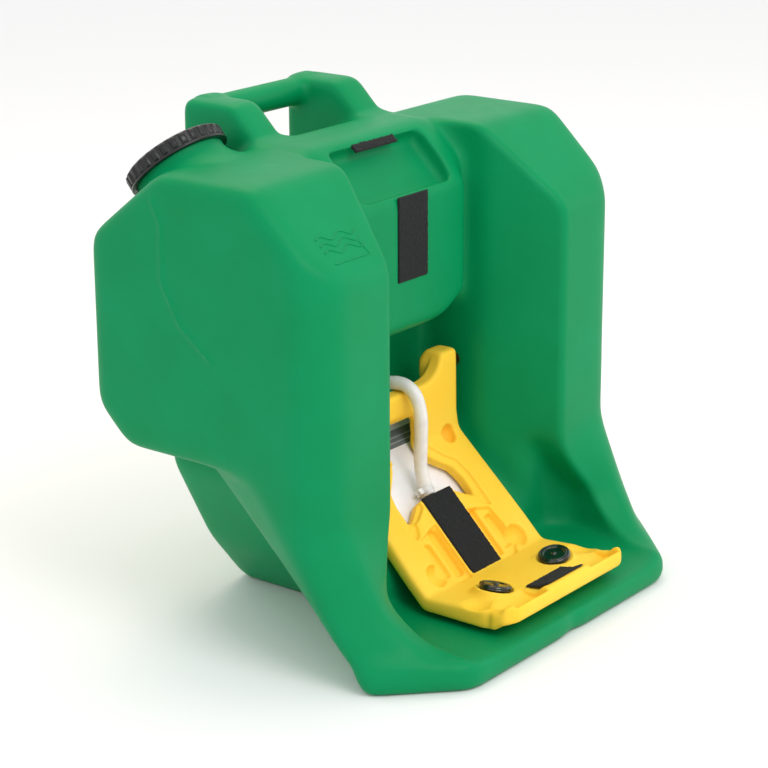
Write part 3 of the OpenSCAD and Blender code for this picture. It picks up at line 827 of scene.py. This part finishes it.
@dataclass
class Tank:
    """The rotomoulded tank, with its recess, basin, handle and fill neck."""

    half: float = 286.0
    depth: float = 325.0
    top: float = 534.0
    bed: float = 29.9
    step: float = 2.6
    neck_x: float = 190.0
    neck_radius: float = 52.0
    neck_rise: float = 33.0
    neck_wall: float = 6.0
    neck_taper: float = 0.06
    line_height: float = 1.3
    line_width: float = 2.6
    shell_soft: float = 21.0
    recess_soft: float = 18.0
    nose_soft: float = 14.0
    dish_soft: float = 12.0
    zones: tuple[str, ...] = (
        "wing_left", "wing_right", "leg_left", "leg_right", "middle", "basin", "handle", "neck"
    )

    def neck_axis(self) -> Matrix:
        """Place of the neck: origin where its axis leaves the rear sloping face, Z outwards.

        Returns:
            The neck's matrix.
        """
        tilt = math.atan2(86.0, 101.0)
        spot = Vector(
            (-self.neck_x, self.depth - 101 + 48 * math.cos(tilt), self.top - 48 * math.sin(tilt))
        )
        return Matrix.Translation(spot) @ Matrix.Rotation(-tilt, 4, "X")

    def leg_plan(self, z: float) -> list[tuple[float, float]]:
        """Plan of the right leg at a height: its front flares below 165 mm, lower inside.

        Args:
            z: height in mm.

        Returns:
            The plan's corners as (x, y).
        """
        front = [
            tuple(np.interp(z, (30, 55, 80, 144, 165), values) for values in corner)
            for corner in (
                ((286, 286, 286, 286, 286), (-33, -22, -11, 19, 29)),
                ((201, 222, 236, 250, 257), (-111, -76, -48, -12, 0)),
                ((190, 206, 202, 168, 160), (-108, -50, -20, 0, 0)),
                ((120, 120, 120, 120, 120), (-108, -50, -20, 0, 0)),
            )
        ]
        share = (z - 30) / 160
        rear = [
            (a[0] + (b[0] - a[0]) * share, a[1] + (b[1] - a[1]) * share)
            for a, b in (
                ((120, 70), (120, 190)),
                ((190, 50), (235, 190)),
                ((264, -16), (248, 172)),
                ((286, -28), (286, 78)),
            )
        ]
        return front + rear

    def shell(self, block: Block) -> Array:
        """The outside form: body, legs, basin base and keel.

        Args:
            block: the sample points.

        Returns:
            The form's field.
        """
        back = self.depth + 6
        body = np.maximum(
            block.side(
                [(0, 160), (0, 443), (95, 534), (227, 534), (back, 452), (back, 259),
                 (back - 48, 213), (87, 213), (60, 160)],
                self.half,
            ),
            block.plan(
                [(-286, 29), (-257, 0), (257, 0), (286, 29), (286, back - 9), (278, back),
                 (-278, back), (-286, back - 9)]
            ),
        )
        leg = block.loft(30, 232, self.leg_plan)
        foot = block.loft(
            0,
            36,
            lambda z: [(286, -47 + z / 5), (193 + z / 5, -137 + z / 5), (0, -137 + z / 5),
                       (0, 50), (190, 50), (262 + z / 6, -26 + z / 6)],
        )
        keel = np.maximum(
            block.front(mirrored([(98, 0), (155, 69), (213, 177), (213, 243)])),
            block.side([(10, -40), (288, -40), (288, 300), (10, 300)], 300),
        )
        return np.minimum(np.minimum(body, leg), np.minimum(foot, keel))

    def recess(self, block: Block) -> Array:
        """The open space in front: between the wings, over the bed and the basin floor.

        Args:
            block: the sample points.

        Returns:
            The space's field.
        """
        bay = np.maximum(
            block.side(
                [(-300, 34), (-128, 34), (-119, 32), (32 - self.bed, 32), (176, 176 + self.bed),
                 (176, 305), (118, 327), (118, 491), (151, 524), (700, 1073), (-300, 1081)],
                400,
            ),
            block.plan(mirrored([(235, -300), (166, 0), (127, 90), (125, 191)])),
        )
        basin = np.maximum(
            block.front(mirrored([(206, 32), (206, 82), (162, 150)])),
            block.plan(
                mirrored([(158, -300), (158, -141), (193, -70), (206, -8), (206, 12), (186, 38)])
            ),
        )
        return join(bay, basin, 14)

    def nose(self, block: Block) -> Array:
        """The body of water between the wings, with its sloping, dished shoulder.

        Args:
            block: the sample points.

        Returns:
            The form's field.
        """
        nose = np.maximum(
            block.side(
                [(96.8, 320), (96.8, 474), (145, 523), (160, 534), (224, 534), (224, 313),
                 (124, 305)],
                109,
            ),
            block.front(mirrored([(44, 305), (109, 339), (109, 600)])),
        )
        return nose

    def dish(self, block: Block) -> Array:
        """Scoop in the nose's sloping face.

        Args:
            block: the sample points.

        Returns:
            The scoop's field.
        """
        c = math.sqrt(0.5)
        # corners as (along the slope from its lower edge, depth under it)
        corners = [(4, 21), (75, 21), (77, -40), (2, -40)]
        outline = [(96.8 + c * (a + d), 478 + c * (a - d)) for a, d in corners]
        return block.side(outline, 85)

    def handle(self, block: Block) -> Array:
        """The two brackets and the grip between them.

        Args:
            block: the sample points.

        Returns:
            The handle's field.
        """
        bracket = np.maximum(
            block.side(
                [(203, 503), (218, 531), (262, 575), (339, 575), (339, 452), (290, 440)], 400
            ),
            np.abs(block.gx - 92) - 25,
        )
        grip = np.maximum(
            np.hypot(block.gy - 321, block.gz - 557).astype(np.float32) - 16.5, block.gx - 91
        )
        return join(block.soften(bracket, 14), grip, 9)

    def raised_line(self, block: Block, form: Array) -> Array:
        """Raise the mould's parting line on both sides.

        Args:
            block: the sample points.
            form: the tank's field.

        Returns:
            The field with its raised line.
        """
        path = [(228, 505), (216, 481), (217, 417), (192, 372), (150, 340)]
        near = np.full((len(block.y), len(block.z)), 1e9)
        py, pz = np.meshgrid(block.y, block.z, indexing="ij")
        for (ay, az), (by, bz) in zip(path, path[1:]):
            ey, ez = by - ay, bz - az
            t = np.clip(((py - ay) * ey + (pz - az) * ez) / (ey * ey + ez * ez), 0, 1)
            near = np.minimum(near, np.hypot(py - ay - t * ey, pz - az - t * ez))
        ridge = self.line_height * np.exp(-((near / self.line_width) ** 2))
        ridge = ridge.astype(np.float32)[None]
        return form - np.where(block.gx > 250, ridge, 0)

    def build(self) -> bpy.types.Object:
        """Work out the whole tank and give it its finish.

        Returns:
            The tank's skin.
        """
        block = Block((0, -146, -4), (294, 346, 584), self.step)
        body = block.soften(self.shell(block), self.shell_soft)
        body = self.raised_line(block, body)
        body = cut(body, block.soften(self.recess(block), self.recess_soft), 7)
        body = join(body, block.soften(self.nose(block), self.nose_soft), 12)
        body = cut(body, block.soften(self.dish(block), self.dish_soft), 4)
        body = join(body, self.handle(block), 14)
        # the foot is flat on the ground
        body = np.maximum(body, (-block.gz).astype(np.float32))
        skin = block.skin(body, "tank_skin", self.neck_field)
        TANK_GREEN.dress(skin)
        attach(skin, "tank")
        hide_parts(*(f"tank_{zone}" for zone in self.zones))
        return skin

    def neck_field(self, x: Array, y: Array, z: Array, body: Array) -> Array:
        """Add the fill neck, its lug and its bore on the left side only.

        Args:
            x: X of the sample points in mm.
            y: Y of the sample points in mm.
            z: Z of the sample points in mm.
            body: the tank's field.

        Returns:
            The left side's field.
        """
        n = np.array(self.neck_axis().inverted(), float)
        # place of each point across the neck, along its tilt and up its axis
        u, v, up = (n[k, 0] * x + n[k, 1] * y + n[k, 2] * z + n[k, 3] for k in range(3))
        radial = np.hypot(u, v)
        swell = np.clip(self.neck_rise - up, 0, 60) * self.neck_taper
        cone = np.maximum(
            radial - (self.neck_radius + swell), np.maximum(up - self.neck_rise, -12 - up)
        )
        bead = np.hypot(radial - self.neck_radius, up - self.neck_rise + 12) - 1.7
        body = join(body, cone.astype(np.float32), 16)
        body = np.minimum(body, np.maximum(bead, -up))
        # the lug leans out from the neck's left and has one small hole
        lug = np.maximum(
            np.maximum(np.abs(v) - 3.5, -up - 4),
            np.maximum(-u - 67, (-u - 50) * 0.7 + up - 16),
        )
        lug = np.maximum(lug, u)
        hole = np.hypot(u + 57.5, up - 8) - 2.4
        body = join(body, np.maximum(lug, -hole).astype(np.float32), 3)
        bore = np.maximum(radial - self.neck_radius + self.neck_wall, -28 - up)
        return cut(body, bore.astype(np.float32), 2)


# ---------------------------------------------------------------- the arm


@dataclass
class Arm:
    """The yellow fold-down arm: ears, window, channelled tray and nozzle shelf."""

    hinge: tuple[float, float] = (130.0, 245.0)
    face: float = 38.2
    heel: tuple[float, float] = (-10.0, 51.0)
    shelf_slope: float = 8.0 / 106.0
    nozzle: tuple[float, float] = (60.0, -63.0)
    nozzle_tilt: float = 14.0
    boss_rise: float = 2.0
    boss_radius: float = 24.5
    seat_radius: float = 20.2
    pocket_radius: float = 15.6
    step: float = 1.35

    def along(self, block: Block) -> tuple[Array, Array]:
        """Distance down the slope from the hinge, and height over the arm's face."""
        c = math.sqrt(0.5)
        dy, dz = block.gy - self.hinge[0], block.gz - self.hinge[1]
        return -(dy + dz) * c, (dz - dy) * c + self.face

    def slope_block(self, block: Block, outline: Outline, low: float, high: float) -> Array:
        """A form drawn on the slope, corners as (x, distance down), between two heights.

        Args:
            block: the sample points.
            outline: the corners.
            low: lowest height over the arm's face.
            high: highest height over the arm's face.

        Returns:
            The form's field.
        """
        s, n = self.along(block)
        s_axis = np.arange(-20.0, 270.0, 1.0)
        flat = outline_field(np.abs(block.x), s_axis, outline).astype(np.float32)
        place_s = np.clip(s[0] - s_axis[0], 0, len(s_axis) - 1.001)
        k = place_s.astype(int)
        part = (place_s - k).astype(np.float32)
        plane = flat[:, k] * (1 - part) + flat[:, k + 1] * part
        return np.maximum(plane, np.maximum(low - n, n - high)).astype(np.float32)

    def shelf(self, y: float) -> float:
        """Height of the nozzle shelf at a distance Y."""
        return self.heel[1] + self.shelf_slope * (self.heel[0] - y)

    def nozzle_axis(self, side: Side, lift: float = 0.0) -> Matrix:
        """Place of a nozzle, its Z along the stream.

        Args:
            side: which nozzle.
            lift: how far along its axis, in mm.

        Returns:
            The nozzle's matrix.
        """
        x, y = self.nozzle
        return (
            Matrix.Translation((side.value * x, y, self.shelf(y)))
            @ Matrix.Rotation(math.radians(-side.value * self.nozzle_tilt), 4, "Y")
            @ Matrix.Translation((0, 0, lift))
        )

    def body(self, block: Block) -> Array:
        """The arm's outside, before the window and the channels.

        Args:
            block: the sample points.

        Returns:
            The form's field.
        """
        ears_and_slope = block.side(
            [(107, 269), (107, 168), (-10, 51), (-108, 58.4), (-113, 66), (-121, 69),
             (-128, 63), (-127, 47), (-108, 42), (-100, 33.2), (-3.2, 33.2), (125, 160.5),
             (125, 180), (138, 200), (141, 258), (134, 269)],
            130,
        )
        widths = block.front(
            mirrored([(100, 300), (102, 245), (103, 190), (108, 168), (116, 60), (118, 0)])
        )
        # the softening takes 2 mm off each side
        widths = widths - 2
        plan = block.plan(
            mirrored([(117, 200), (117, -88), (112, -96), (128, -97), (128, -108), (104, -127)])
        )
        return np.maximum(ears_and_slope, np.maximum(widths, plan))

    def build(self) -> bpy.types.Object:
        """Work out the arm and give it its finish.

        Returns:
            The arm's skin.
        """
        block = Block((0, -134, 26), (134, 148, 276), self.step)
        s, n = self.along(block)
        x = block.gx
        arm = block.soften(self.body(block), 7)
        # the gap between the ears, over the crossbar
        gap = block.front(mirrored([(42, 239), (55, 242), (65, 250), (71, 262), (74, 300)]))
        arm = cut(arm, block.soften(np.broadcast_to(gap, arm.shape), 8), 5)
        # ears lean back behind the upright part only
        back = np.maximum(x - 68, 126 - block.gy)
        arm = cut(arm, np.maximum(back, 178 - block.gz).astype(np.float32), 4)
        # the window runs down beside the strip's panel, between stepped edges
        opening = [(30, 40), (31, 84), (45, 98), (59, 110), (64, 127), (64, 153), (52, 147),
                   (30, 132)]
        step_edge = [(38, 74), (52, 92), (68, 105), (74, 127), (74, 172), (66, 170), (58, 158)]
        window = self.slope_block(block, mirrored(opening), -60, 60)
        ledge = self.slope_block(block, step_edge + [(60, 120), (40, 100), (30, 84)], -4.5, 30)
        arm = cut(arm, block.soften(ledge, 3), 2)
        slot = np.maximum(
            block.front(mirrored([(30, 120), (31, 194), (25, 200)])), 104 - block.gy
        )
        window = np.minimum(window, np.maximum(slot, block.gy - 150))
        arm = cut(arm, block.soften(window, 5), 3)
        arm = self.carve(block, arm, s, n, x)
        skin = block.skin(arm, "arm_skin")
        ARM_YELLOW.dress(skin)
        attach(skin, "arm")
        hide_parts("activation_arm")
        return skin

    def carve(self, block: Block, arm: Array, s: Array, n: Array, x: Array) -> Array:
        """Carve the channels, dimples, shoulders, nozzle bosses and lip into the arm.

        Args:
            block: the sample points.
            arm: the arm's field.
            s: distance down the slope.
            n: height over the arm's face.
            x: X of the sample points, folded to the + side.

        Returns:
            The carved field.
        """
        # stepped channels on each side of the strip's panel, under faceted shoulders
        deep = self.slope_block(block, [(32, 170), (46, 166), (47, 230), (32, 230)], -12.5, 30)
        mid = self.slope_block(
            block, [(30, 164), (67, 174), (71, 200), (71, 226), (58, 238), (30, 238)], -5, 30
        )
        outer = self.slope_block(
            block, [(54, 182), (66, 180), (69, 200), (69, 224), (54, 226)], -11.5, 30
        )
        bevel = self.slope_block(
            block, [(34, 128), (72, 149), (72, 158), (50, 152), (30, 140)], -5, 30
        )
        channels = np.minimum(np.minimum(deep, mid), np.minimum(outer, bevel))
        arm = cut(arm, block.soften(channels, 3), 1.5)
        # round dimple where the ear meets the slope, and a scoop with a drain hole at the heel
        y, z = block.gy, block.gz
        dimple = np.hypot(np.hypot(x - 82, s - 72), n + 3) - 12
        arm = cut(arm, dimple.astype(np.float32), 2.5)
        scoop = np.hypot(np.hypot(x - 80, y - 2), z - 64) - 14
        arm = cut(arm, scoop.astype(np.float32), 2.0)
        drain = np.maximum(np.hypot(x - 80, y + 2) - 2.4, 20 - z)
        arm = cut(arm, drain.astype(np.float32), 0.5)
        low = np.hypot(np.hypot(x - 104, (y + 70) * 0.8), z - 70) - 20
        arm = cut(arm, low.astype(np.float32), 3)
        # shelf behind the lip, lower between the nozzles
        trough = np.maximum(np.hypot((y + 101) * 0.8, z - 69) - 17.5, x - 104)
        arm = cut(arm, np.maximum(trough, 43 - x).astype(np.float32), 3)
        tilt = math.radians(self.nozzle_tilt)
        dx, dz = x - self.nozzle[0], z - self.shelf(self.nozzle[1])
        up = -dx * math.sin(tilt) + dz * math.cos(tilt)
        out = dx * math.cos(tilt) + dz * math.sin(tilt)
        radial = np.hypot(out, y - self.nozzle[1])
        boss = np.maximum(
            radial - self.boss_radius + up * 0.35, np.maximum(up - self.boss_rise, -11 - up)
        )
        arm = join(arm, boss.astype(np.float32), 4)
        pocket = np.maximum(radial - self.pocket_radius, -15.6 - up)
        seat = np.maximum(radial - self.seat_radius, self.boss_rise - 1.0 - up)
        arm = cut(arm, np.minimum(pocket, seat).astype(np.float32), 0.8)
        # room for the manifold and its cover underneath
        cover = np.maximum(np.maximum(x - 84, np.abs(y + 59) - 22), z - 35.2)
        return cut(arm, cover.astype(np.float32), 0.5)


# ---------------------------------------------------------------- tube, caps, strips and mark


def swept(name: str, path_mm: Array, section: Callable[[float], Array]) -> bpy.types.Object:
    """Sweep a section along a path, in mm in the tank's frame, and close both ends.

    Args:
        name: the object's name.
        path_mm: the path's points.
        section: gives (across, up) points round the section, from the share of the path run.

    Returns:
        The new object.
    """
    path = np.asarray(path_mm, float)
    ahead = np.gradient(path, axis=0)
    ahead /= np.linalg.norm(ahead, axis=1)[:, None]
    guide = np.array([1.0, 0.0, 0.0]) if abs(ahead[0, 0]) < 0.7 else np.array([0.0, 0.0, 1.0])
    points, count = [], 0
    for k, (spot, along) in enumerate(zip(path, ahead)):
        across = guide - along * (guide @ along)
        across /= np.linalg.norm(across)
        up = np.cross(along, across)
        ring = section(k / (len(path) - 1))
        count = len(ring)
        points.append(spot + ring[:, :1] * across + ring[:, 1:] * up)
    faces: list[Sequence[int]] = []
    for k in range(len(path) - 1):
        for m in range(count):
            a, b = k * count + m, k * count + (m + 1) % count
            faces.append((a, b, b + count, a + count))
    faces.append(tuple(range(count))[::-1])
    faces.append(tuple((len(path) - 1) * count + m for m in range(count)))
    return mesh_object(name, place(np.concatenate(points), Matrix.Identity(4)), faces)


def smooth_path(points: Sequence[Sequence[float]], steps: int) -> Array:
    """Run a Catmull-Rom curve through points, with so many steps from each to the next.

    Args:
        points: points in mm.
        steps: steps between two points.

    Returns:
        The curve's points.
    """
    knots = np.asarray(points, float)
    padded = np.vstack([2 * knots[0] - knots[1], knots, 2 * knots[-1] - knots[-2]])
    t = (np.arange(steps) / steps)[:, None]
    runs = []
    for a, b, c, d in zip(padded, padded[1:], padded[2:], padded[3:]):
        runs.append(
            0.5 * (2 * b + (c - a) * t + (2 * a - 5 * b + 4 * c - d) * t**2
                   + (3 * b - a - 3 * c + d) * t**3)
        )
    return np.vstack([*runs, knots[-1:]])


@dataclass
class SupplyTube:
    """The silicone tube from the tank's outlet barb to the arm's inlet barb."""

    radius: float = 8.0
    route: tuple[tuple[float, float], ...] = (
        (164, 245), (148, 245), (132, 246.5), (118, 248.5), (106, 247.5), (95, 240.5), (88, 228),
        (85, 212), (84.5, 195), (85, 179), (85.5, 163), (84, 147), (79, 131), (72.9, 121.1),
    )
    bend_from: tuple[float, float] = (132, 246.5)

    def build(self) -> bpy.types.Object:
        """Sweep the tube along its route, give it its finish and hide the CAD tube.

        Returns:
            The tube.
        """
        path = smooth_path([(0.0, y, z) for y, z in self.route], 8)
        turn = np.arange(28) * 2 * math.pi / 28
        ring = np.stack([np.cos(turn), np.sin(turn)], axis=1)
        tube = swept(
            "supply_tube_silicone",
            path,
            lambda share: ring * (self.radius + 0.12 * math.sin(share * 37)),
        )
        TUBING.dress(tube)
        line = place(path, Matrix.Identity(4))
        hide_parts("supply_tube")
        start = place(np.array([[0.0, *self.bend_from]]), Matrix.Identity(4))[0]
        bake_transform(tube)
        return tube


@dataclass
class FillCap:
    """The ribbed screw cap on the fill neck."""

    radius: float = 57.6
    flange: float = 60.0
    bore: float = 53.8
    skirt: float = 15.0
    seat: float = 2.0
    ribs: int = 30
    rib_height: float = 2.3

    def build(self, tank: Tank) -> bpy.types.Object:
        """Turn the cap with its grip ribs on the tank's neck.

        Args:
            tank: the tank, for the place of its neck.

        Returns:
            The cap.
        """
        r = self.radius
        profile = [
            (6.2, 0.0), (self.bore, 0.0), (self.bore, -self.skirt), (self.flange - 0.6, -15.0),
            (self.flange, -14.5), (self.flange, -12.6), (self.flange - 0.5, -12.1), (r, -12.0),
            (r, -10.8), (r, -10.2), (r, -4.0), (r, 0.2), (r, 0.9), (r - 0.5, 2.2), (r - 1.6, 3.0),
            (52.0, 3.2), (50.6, 3.0), (49.8, 2.0), (18.0, 1.8), (15.5, 2.2), (13.6, 3.4),
            (12.6, 5.6), (11.5, 6.1), (6.2, 6.1),
        ]
        steps = 16
        sides = self.ribs * steps
        wave = np.arange(sides) % steps / steps
        rib = np.clip((np.cos(2 * math.pi * wave) + 0.15) * 4, 0, 1) * self.rib_height
        swell = np.zeros((sides, len(profile)))
        swell[:, 9:12] = rib[:, None]
        swell[:, 8] = swell[:, 12] = rib * 0.7
        axis = tank.neck_axis() @ Matrix.Translation((0, 0, tank.neck_rise + self.seat))
        cap = turned("fill_cap_ribbed", profile, axis, sides, swell)
        CAP_BLACK.dress(cap)
        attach(cap, "cap")
        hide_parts("fill_cap")
        return cap


@dataclass
class DustCap:
    """One push-in dust cap over a nozzle."""

    side: Side
    radius: float = 19.0
    thick: float = 5.5
    plug: float = 11.5

    def build(self, arm: Arm) -> bpy.types.Object:
        """Turn the cap with its rim ring, dished top and centre rivet.

        Args:
            arm: the arm, for the place of its nozzle.

        Returns:
            The cap.
        """
        r, t = self.radius, self.thick
        profile = [
            (0.0, t + 0.9), (1.6, t + 0.9), (2.3, t + 0.6), (2.5, t - 0.6), (3.4, t - 0.9),
            (11.6, t - 0.9), (12.3, t - 0.5), (12.7, t), (14.9, t + 0.1), (15.4, t - 0.4),
            (15.8, t - 0.8), (16.2, t - 0.3), (16.7, t), (17.6, t - 0.2), (18.4, t - 0.9),
            (r, t - 2), (r, 2.9), (r - 0.4, 2.6), (r - 0.4, 2.2), (r, 1.9), (r, 0.6),
            (r - 0.5, 0.0), (self.plug + 0.4, 0.0), (self.plug, -0.5), (self.plug - 0.3, -5.0),
            (self.plug - 0.9, -5.6), (0.0, -5.6),
        ]
        name = f"dust_cap_{self.side.name.lower()}"
        axis = arm.nozzle_axis(self.side, arm.boss_rise + 0.4)
        cap = turned(name + "_turned", profile, axis, 96)
        DUST_BLACK.dress(cap)
        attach(cap, f"dust_{self.side.name.lower()}")
        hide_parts(name)
        return cap


@dataclass
class Strips:
    """The hook and loop strips on the arm, its lip, the nose and the top."""

    thick: float = 1.9
    seed: int = 7
    run_step: float = 1.2
    across_step: float = 1.4
    edge: float = 1.4
    pile_rough: float = 0.22
    fray: float = 0.35

    def section(
        self, rng: np.random.Generator, half: float, share: float, length: float
    ) -> Array:
        """One section of a strip, its pile uneven and its edges frayed.

        Args:
            rng: the source of the unevenness.
            half: half the strip's width in mm.
            share: share of the route run so far.
            length: the route's length in mm.

        Returns:
            (across, up) points round the section.
        """
        across = np.linspace(-half, half, int(half * 2 / self.across_step))
        run = min(share, 1 - share) * length
        lift = self.thick * min(1.0, 0.55 + run / self.edge)
        fray = rng.normal(0, self.fray, 2)
        top = np.stack([across, lift + rng.normal(0, self.pile_rough, len(across))], axis=1)
        top[0] += (0.5 + fray[0], -1.0)
        top[-1] += (-0.5 + fray[1], -1.0)
        bottom = np.array([[half - 0.2, 0.0], [0.0, 0.0], [-half + 0.2, 0.0]])
        return np.concatenate([top, bottom])

    def strip(
        self, name: str, half: float, route: Outline, node: str, body: str, middle: float = 0.0
    ) -> bpy.types.Object:
        """Lay one strip along a route in the middle plane.

        Args:
            name: the object's name.
            half: half its width in mm.
            route: (y, z) of its underside, with the pile on the left of the way it runs.
            node: the CAD node it stands for.
            body: the body it rides on.
            middle: X of its middle line.

        Returns:
            The strip.
        """
        rng = np.random.default_rng(self.seed)
        corners = [(middle, y, z) for y, z in route]
        legs = [np.array(corners[0])]
        for a, b in zip(corners, corners[1:]):
            span = np.subtract(b, a)
            count = max(2, int(np.linalg.norm(span) / self.run_step))
            legs += [np.asarray(a) + span * k / count for k in range(1, count + 1)]
        length = len(legs) * self.run_step
        strip = swept(
            name, np.array(legs), lambda share: self.section(rng, half, share, length)
        )
        PILE.dress(strip)
        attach(strip, body)
        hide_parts(node)
        return strip

    def build(self) -> list[bpy.types.Object]:
        """Lay the four strips.

        Returns:
            The strips.
        """
        c = math.sqrt(0.5)
        # ends of the arm's strip, 131 and 237 mm down the slope on a face 38.2 mm under the hinge
        slope = [(130 - s * c + 38.2 * c, 245 - s * c - 38.2 * c) for s in (131, 237)]
        return [
            self.strip("arm_strip_pile", 28, slope, "arm_strip", "arm"),
            self.strip(
                "lip_strip_pile", 36,
                [(-88, 57.6), (-98, 59.6), (-106, 61.6), (-112, 64.8), (-118, 68.4)],
                "lip_strip", "arm",
            ),
            self.strip(
                "nose_strip_pile", 28, [(96.8, 476), (96.8, 377)], "nose_strip", "tank"
            ),
            self.strip(
                "top_strip_pile", 39,
                [(178, 534), (165, 534), (158, 531.6), (152, 527.4), (146.5, 522.4)],
                "top_strip", "tank", -1.0,
            ),
        ]


@dataclass
class FillMark:
    """The moulded fill-level mark: three waves over a level line, raised from the wing."""

    left: float = -244.0
    right: float = -180.0
    low: float = 466.0
    pitch: float = 6.0
    radius: float = 0.9

    def build(self, skin: bpy.types.Object) -> bpy.types.Object:
        """Raise the mark from the tank's skin.

        Args:
            skin: the tank's skin, which the lines follow.

        Returns:
            The mark.
        """
        across = np.linspace(self.left, self.right, 60)
        lines = []
        for k in range(3):
            wave = 2.4 * np.sin((across - self.left) / 16 * math.pi)
            lines.append(np.stack([across, self.low + 2 + k * self.pitch + wave], axis=1))
        foot = self.low - 8
        lines.append(np.array([(self.right - 6 + 4 * t, foot + 12 - 12 * t)
                               for t in np.linspace(0, 1, 8)]))
        lines.append(np.stack([np.linspace(self.left + 4, self.right - 2, 40),
                               np.full(40, foot)], axis=1))
        turn = np.arange(8) * math.pi / 4
        ring = np.stack([np.cos(turn), np.sin(turn)], axis=1) * self.radius
        tubes = []
        for number, line in enumerate(lines):
            spots = []
            for x, z in line:
                hit, spot, _, _ = skin.ray_cast(
                    Vector((x, -400 - MID_Y, z)) * MM, Vector((0, 1, 0))
                )
                if hit:
                    spots.append((spot.x / MM, spot.y / MM + MID_Y, spot.z / MM))
            tubes.append(swept(f"fill_mark_{number}", np.array(spots), lambda _: ring))
        mark = tubes[0]
        with bpy.context.temp_override(active_object=mark, selected_editable_objects=tubes):
            bpy.ops.object.join()
        mark.name = "fill_mark_raised"
        TANK_GREEN.dress(mark)
        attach(mark, "tank")
        return mark


def dress_nodes() -> None:
    """Give every CAD node that stays in view or behind other pieces its finish."""
    RUBBER.dress_node("cap_gasket", "outlet_oring", "manifold_seal")
    FITTING_GREY.dress_node("cap_vent", "outlet_fitting", "inlet_manifold")
    FITTING_GREY.dress_node("nozzle_cup_left", "nozzle_cup_right")
    FITTING_GREY.dress_node("flow_disc_left", "flow_disc_right")
    BRASS.dress_node("outlet_insert", "hinge_insert_left", "hinge_insert_right")
    # the hinge pins get the steel darkened to painted shade
    PIN_SHADE_STEEL.dress_node("hinge_pin_left", "hinge_pin_right")
    STEEL.dress_node("manifold_screws", "tube_clamp_upper")
    TUBING.dress_node("tube_clamp_lower")
    CAP_BLACK.dress_node("manifold_cover")
    FOAM.dress_node("strainer_left", "strainer_right")
    LABEL.dress_node("instruction_label")
    LOWER_LABEL.dress_node("lower_label")


# ---------------------------------------------------------------- camera and light


@dataclass
class Studio:
    """Camera, soft lights, pale floor and pale surround."""

    eye: tuple[float, float, float] = (-2.077, -1.556, 1.089)
    aim: tuple[float, float, float] = (0.754, 0.581, -0.307)
    lens: float = 111.1
    roll: float = -0.25

    def camera(self) -> bpy.types.Object:
        """Stand the camera where the object is seen from.

        Returns:
            The camera.
        """
        data = bpy.data.cameras.new("studio_camera")
        data.lens = self.lens
        data.sensor_width = 36.0
        data.clip_end = 50.0
        camera = bpy.data.objects.new("studio_camera", data)
        bpy.context.scene.collection.objects.link(camera)
        turn = Vector(self.aim).to_track_quat("-Z", "Y").to_matrix().to_4x4()
        camera.matrix_world = (
            Matrix.Translation(self.eye)
            @ turn
            @ Matrix.Rotation(math.radians(self.roll), 4, "Z")
        )
        bpy.context.scene.camera = camera
        return camera

    def lamp(
        self,
        name: str,
        spot: tuple[float, float, float],
        size: float,
        power: float,
        colour: str = "FFFFFF",
        target: tuple[float, float, float] = (0, 0, 0.25),
    ) -> bpy.types.Object:
        """Hang one square softbox.

        Args:
            name: the light's name.
            spot: its place in metres.
            size: its side in metres.
            power: its power in watts.
            colour: hex colour of its light.
            target: the point it faces.

        Returns:
            The light.
        """
        data = bpy.data.lights.new(name, "AREA")
        data.shape = "SQUARE"
        data.size = size
        data.energy = power
        data.color = linear(colour)[:3]
        light = bpy.data.objects.new(name, data)
        bpy.context.scene.collection.objects.link(light)
        facing = (Vector(target) - Vector(spot)).to_track_quat("-Z", "Y")
        light.matrix_world = Matrix.Translation(spot) @ facing.to_matrix().to_4x4()
        return light

    def build(self) -> None:
        """Set up the floor, the surround and the lights."""
        scene = bpy.context.scene
        scene.view_settings.view_transform = "Standard"
        world = bpy.data.worlds.new("pale_surround")
        world.use_nodes = True
        background = world.node_tree.nodes["Background"]
        background.inputs["Color"].default_value = (1, 1, 1, 1)
        background.inputs["Strength"].default_value = 1.0
        scene.world = world
        floor = mesh_object(
            "studio_floor",
            np.array([(-9, -9, -0.0005), (9, -9, -0.0005), (9, 9, -0.0005), (-9, 9, -0.0005)]),
            [(0, 1, 2, 3)],
        )
        paper = bpy.data.materials.new("studio_paper")
        paper.use_nodes = True
        shader = paper.node_tree.nodes["Principled BSDF"]
        shader.inputs["Base Color"].default_value = (0.9, 0.9, 0.9, 1)
        shader.inputs["Roughness"].default_value = 0.9
        floor.data.materials.append(paper)
        self.lamp("key_softbox", (-0.6, -2.2, 2.6), 1.6, 34)
        self.lamp("top_softbox", (0.6, 0.9, 2.4), 1.4, 14, "FFEFC8")
        self.lamp("right_softbox", (2.4, -1.6, 1.0), 1.2, 5)


def main() -> None:
    """Build the station's looks piece by piece."""
    logging.basicConfig(level=logging.INFO, format="%(name)s: %(message)s")
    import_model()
    studio = Studio()
    studio.camera()
    pieces = [SupplyTube().build()]
    studio.build()
    tank, arm = Tank(), Arm()
    skin = tank.build()
    pieces += [skin, arm.build(), FillCap().build(tank), *Strips().build(), FillMark().build(skin)]
    pieces += [DustCap(side).build(arm) for side in Side]
    dress_nodes()
    for piece in pieces:
        log.info("%s: %d faces", piece.name, len(piece.data.polygons))


if __name__ == "__main__":
    main()
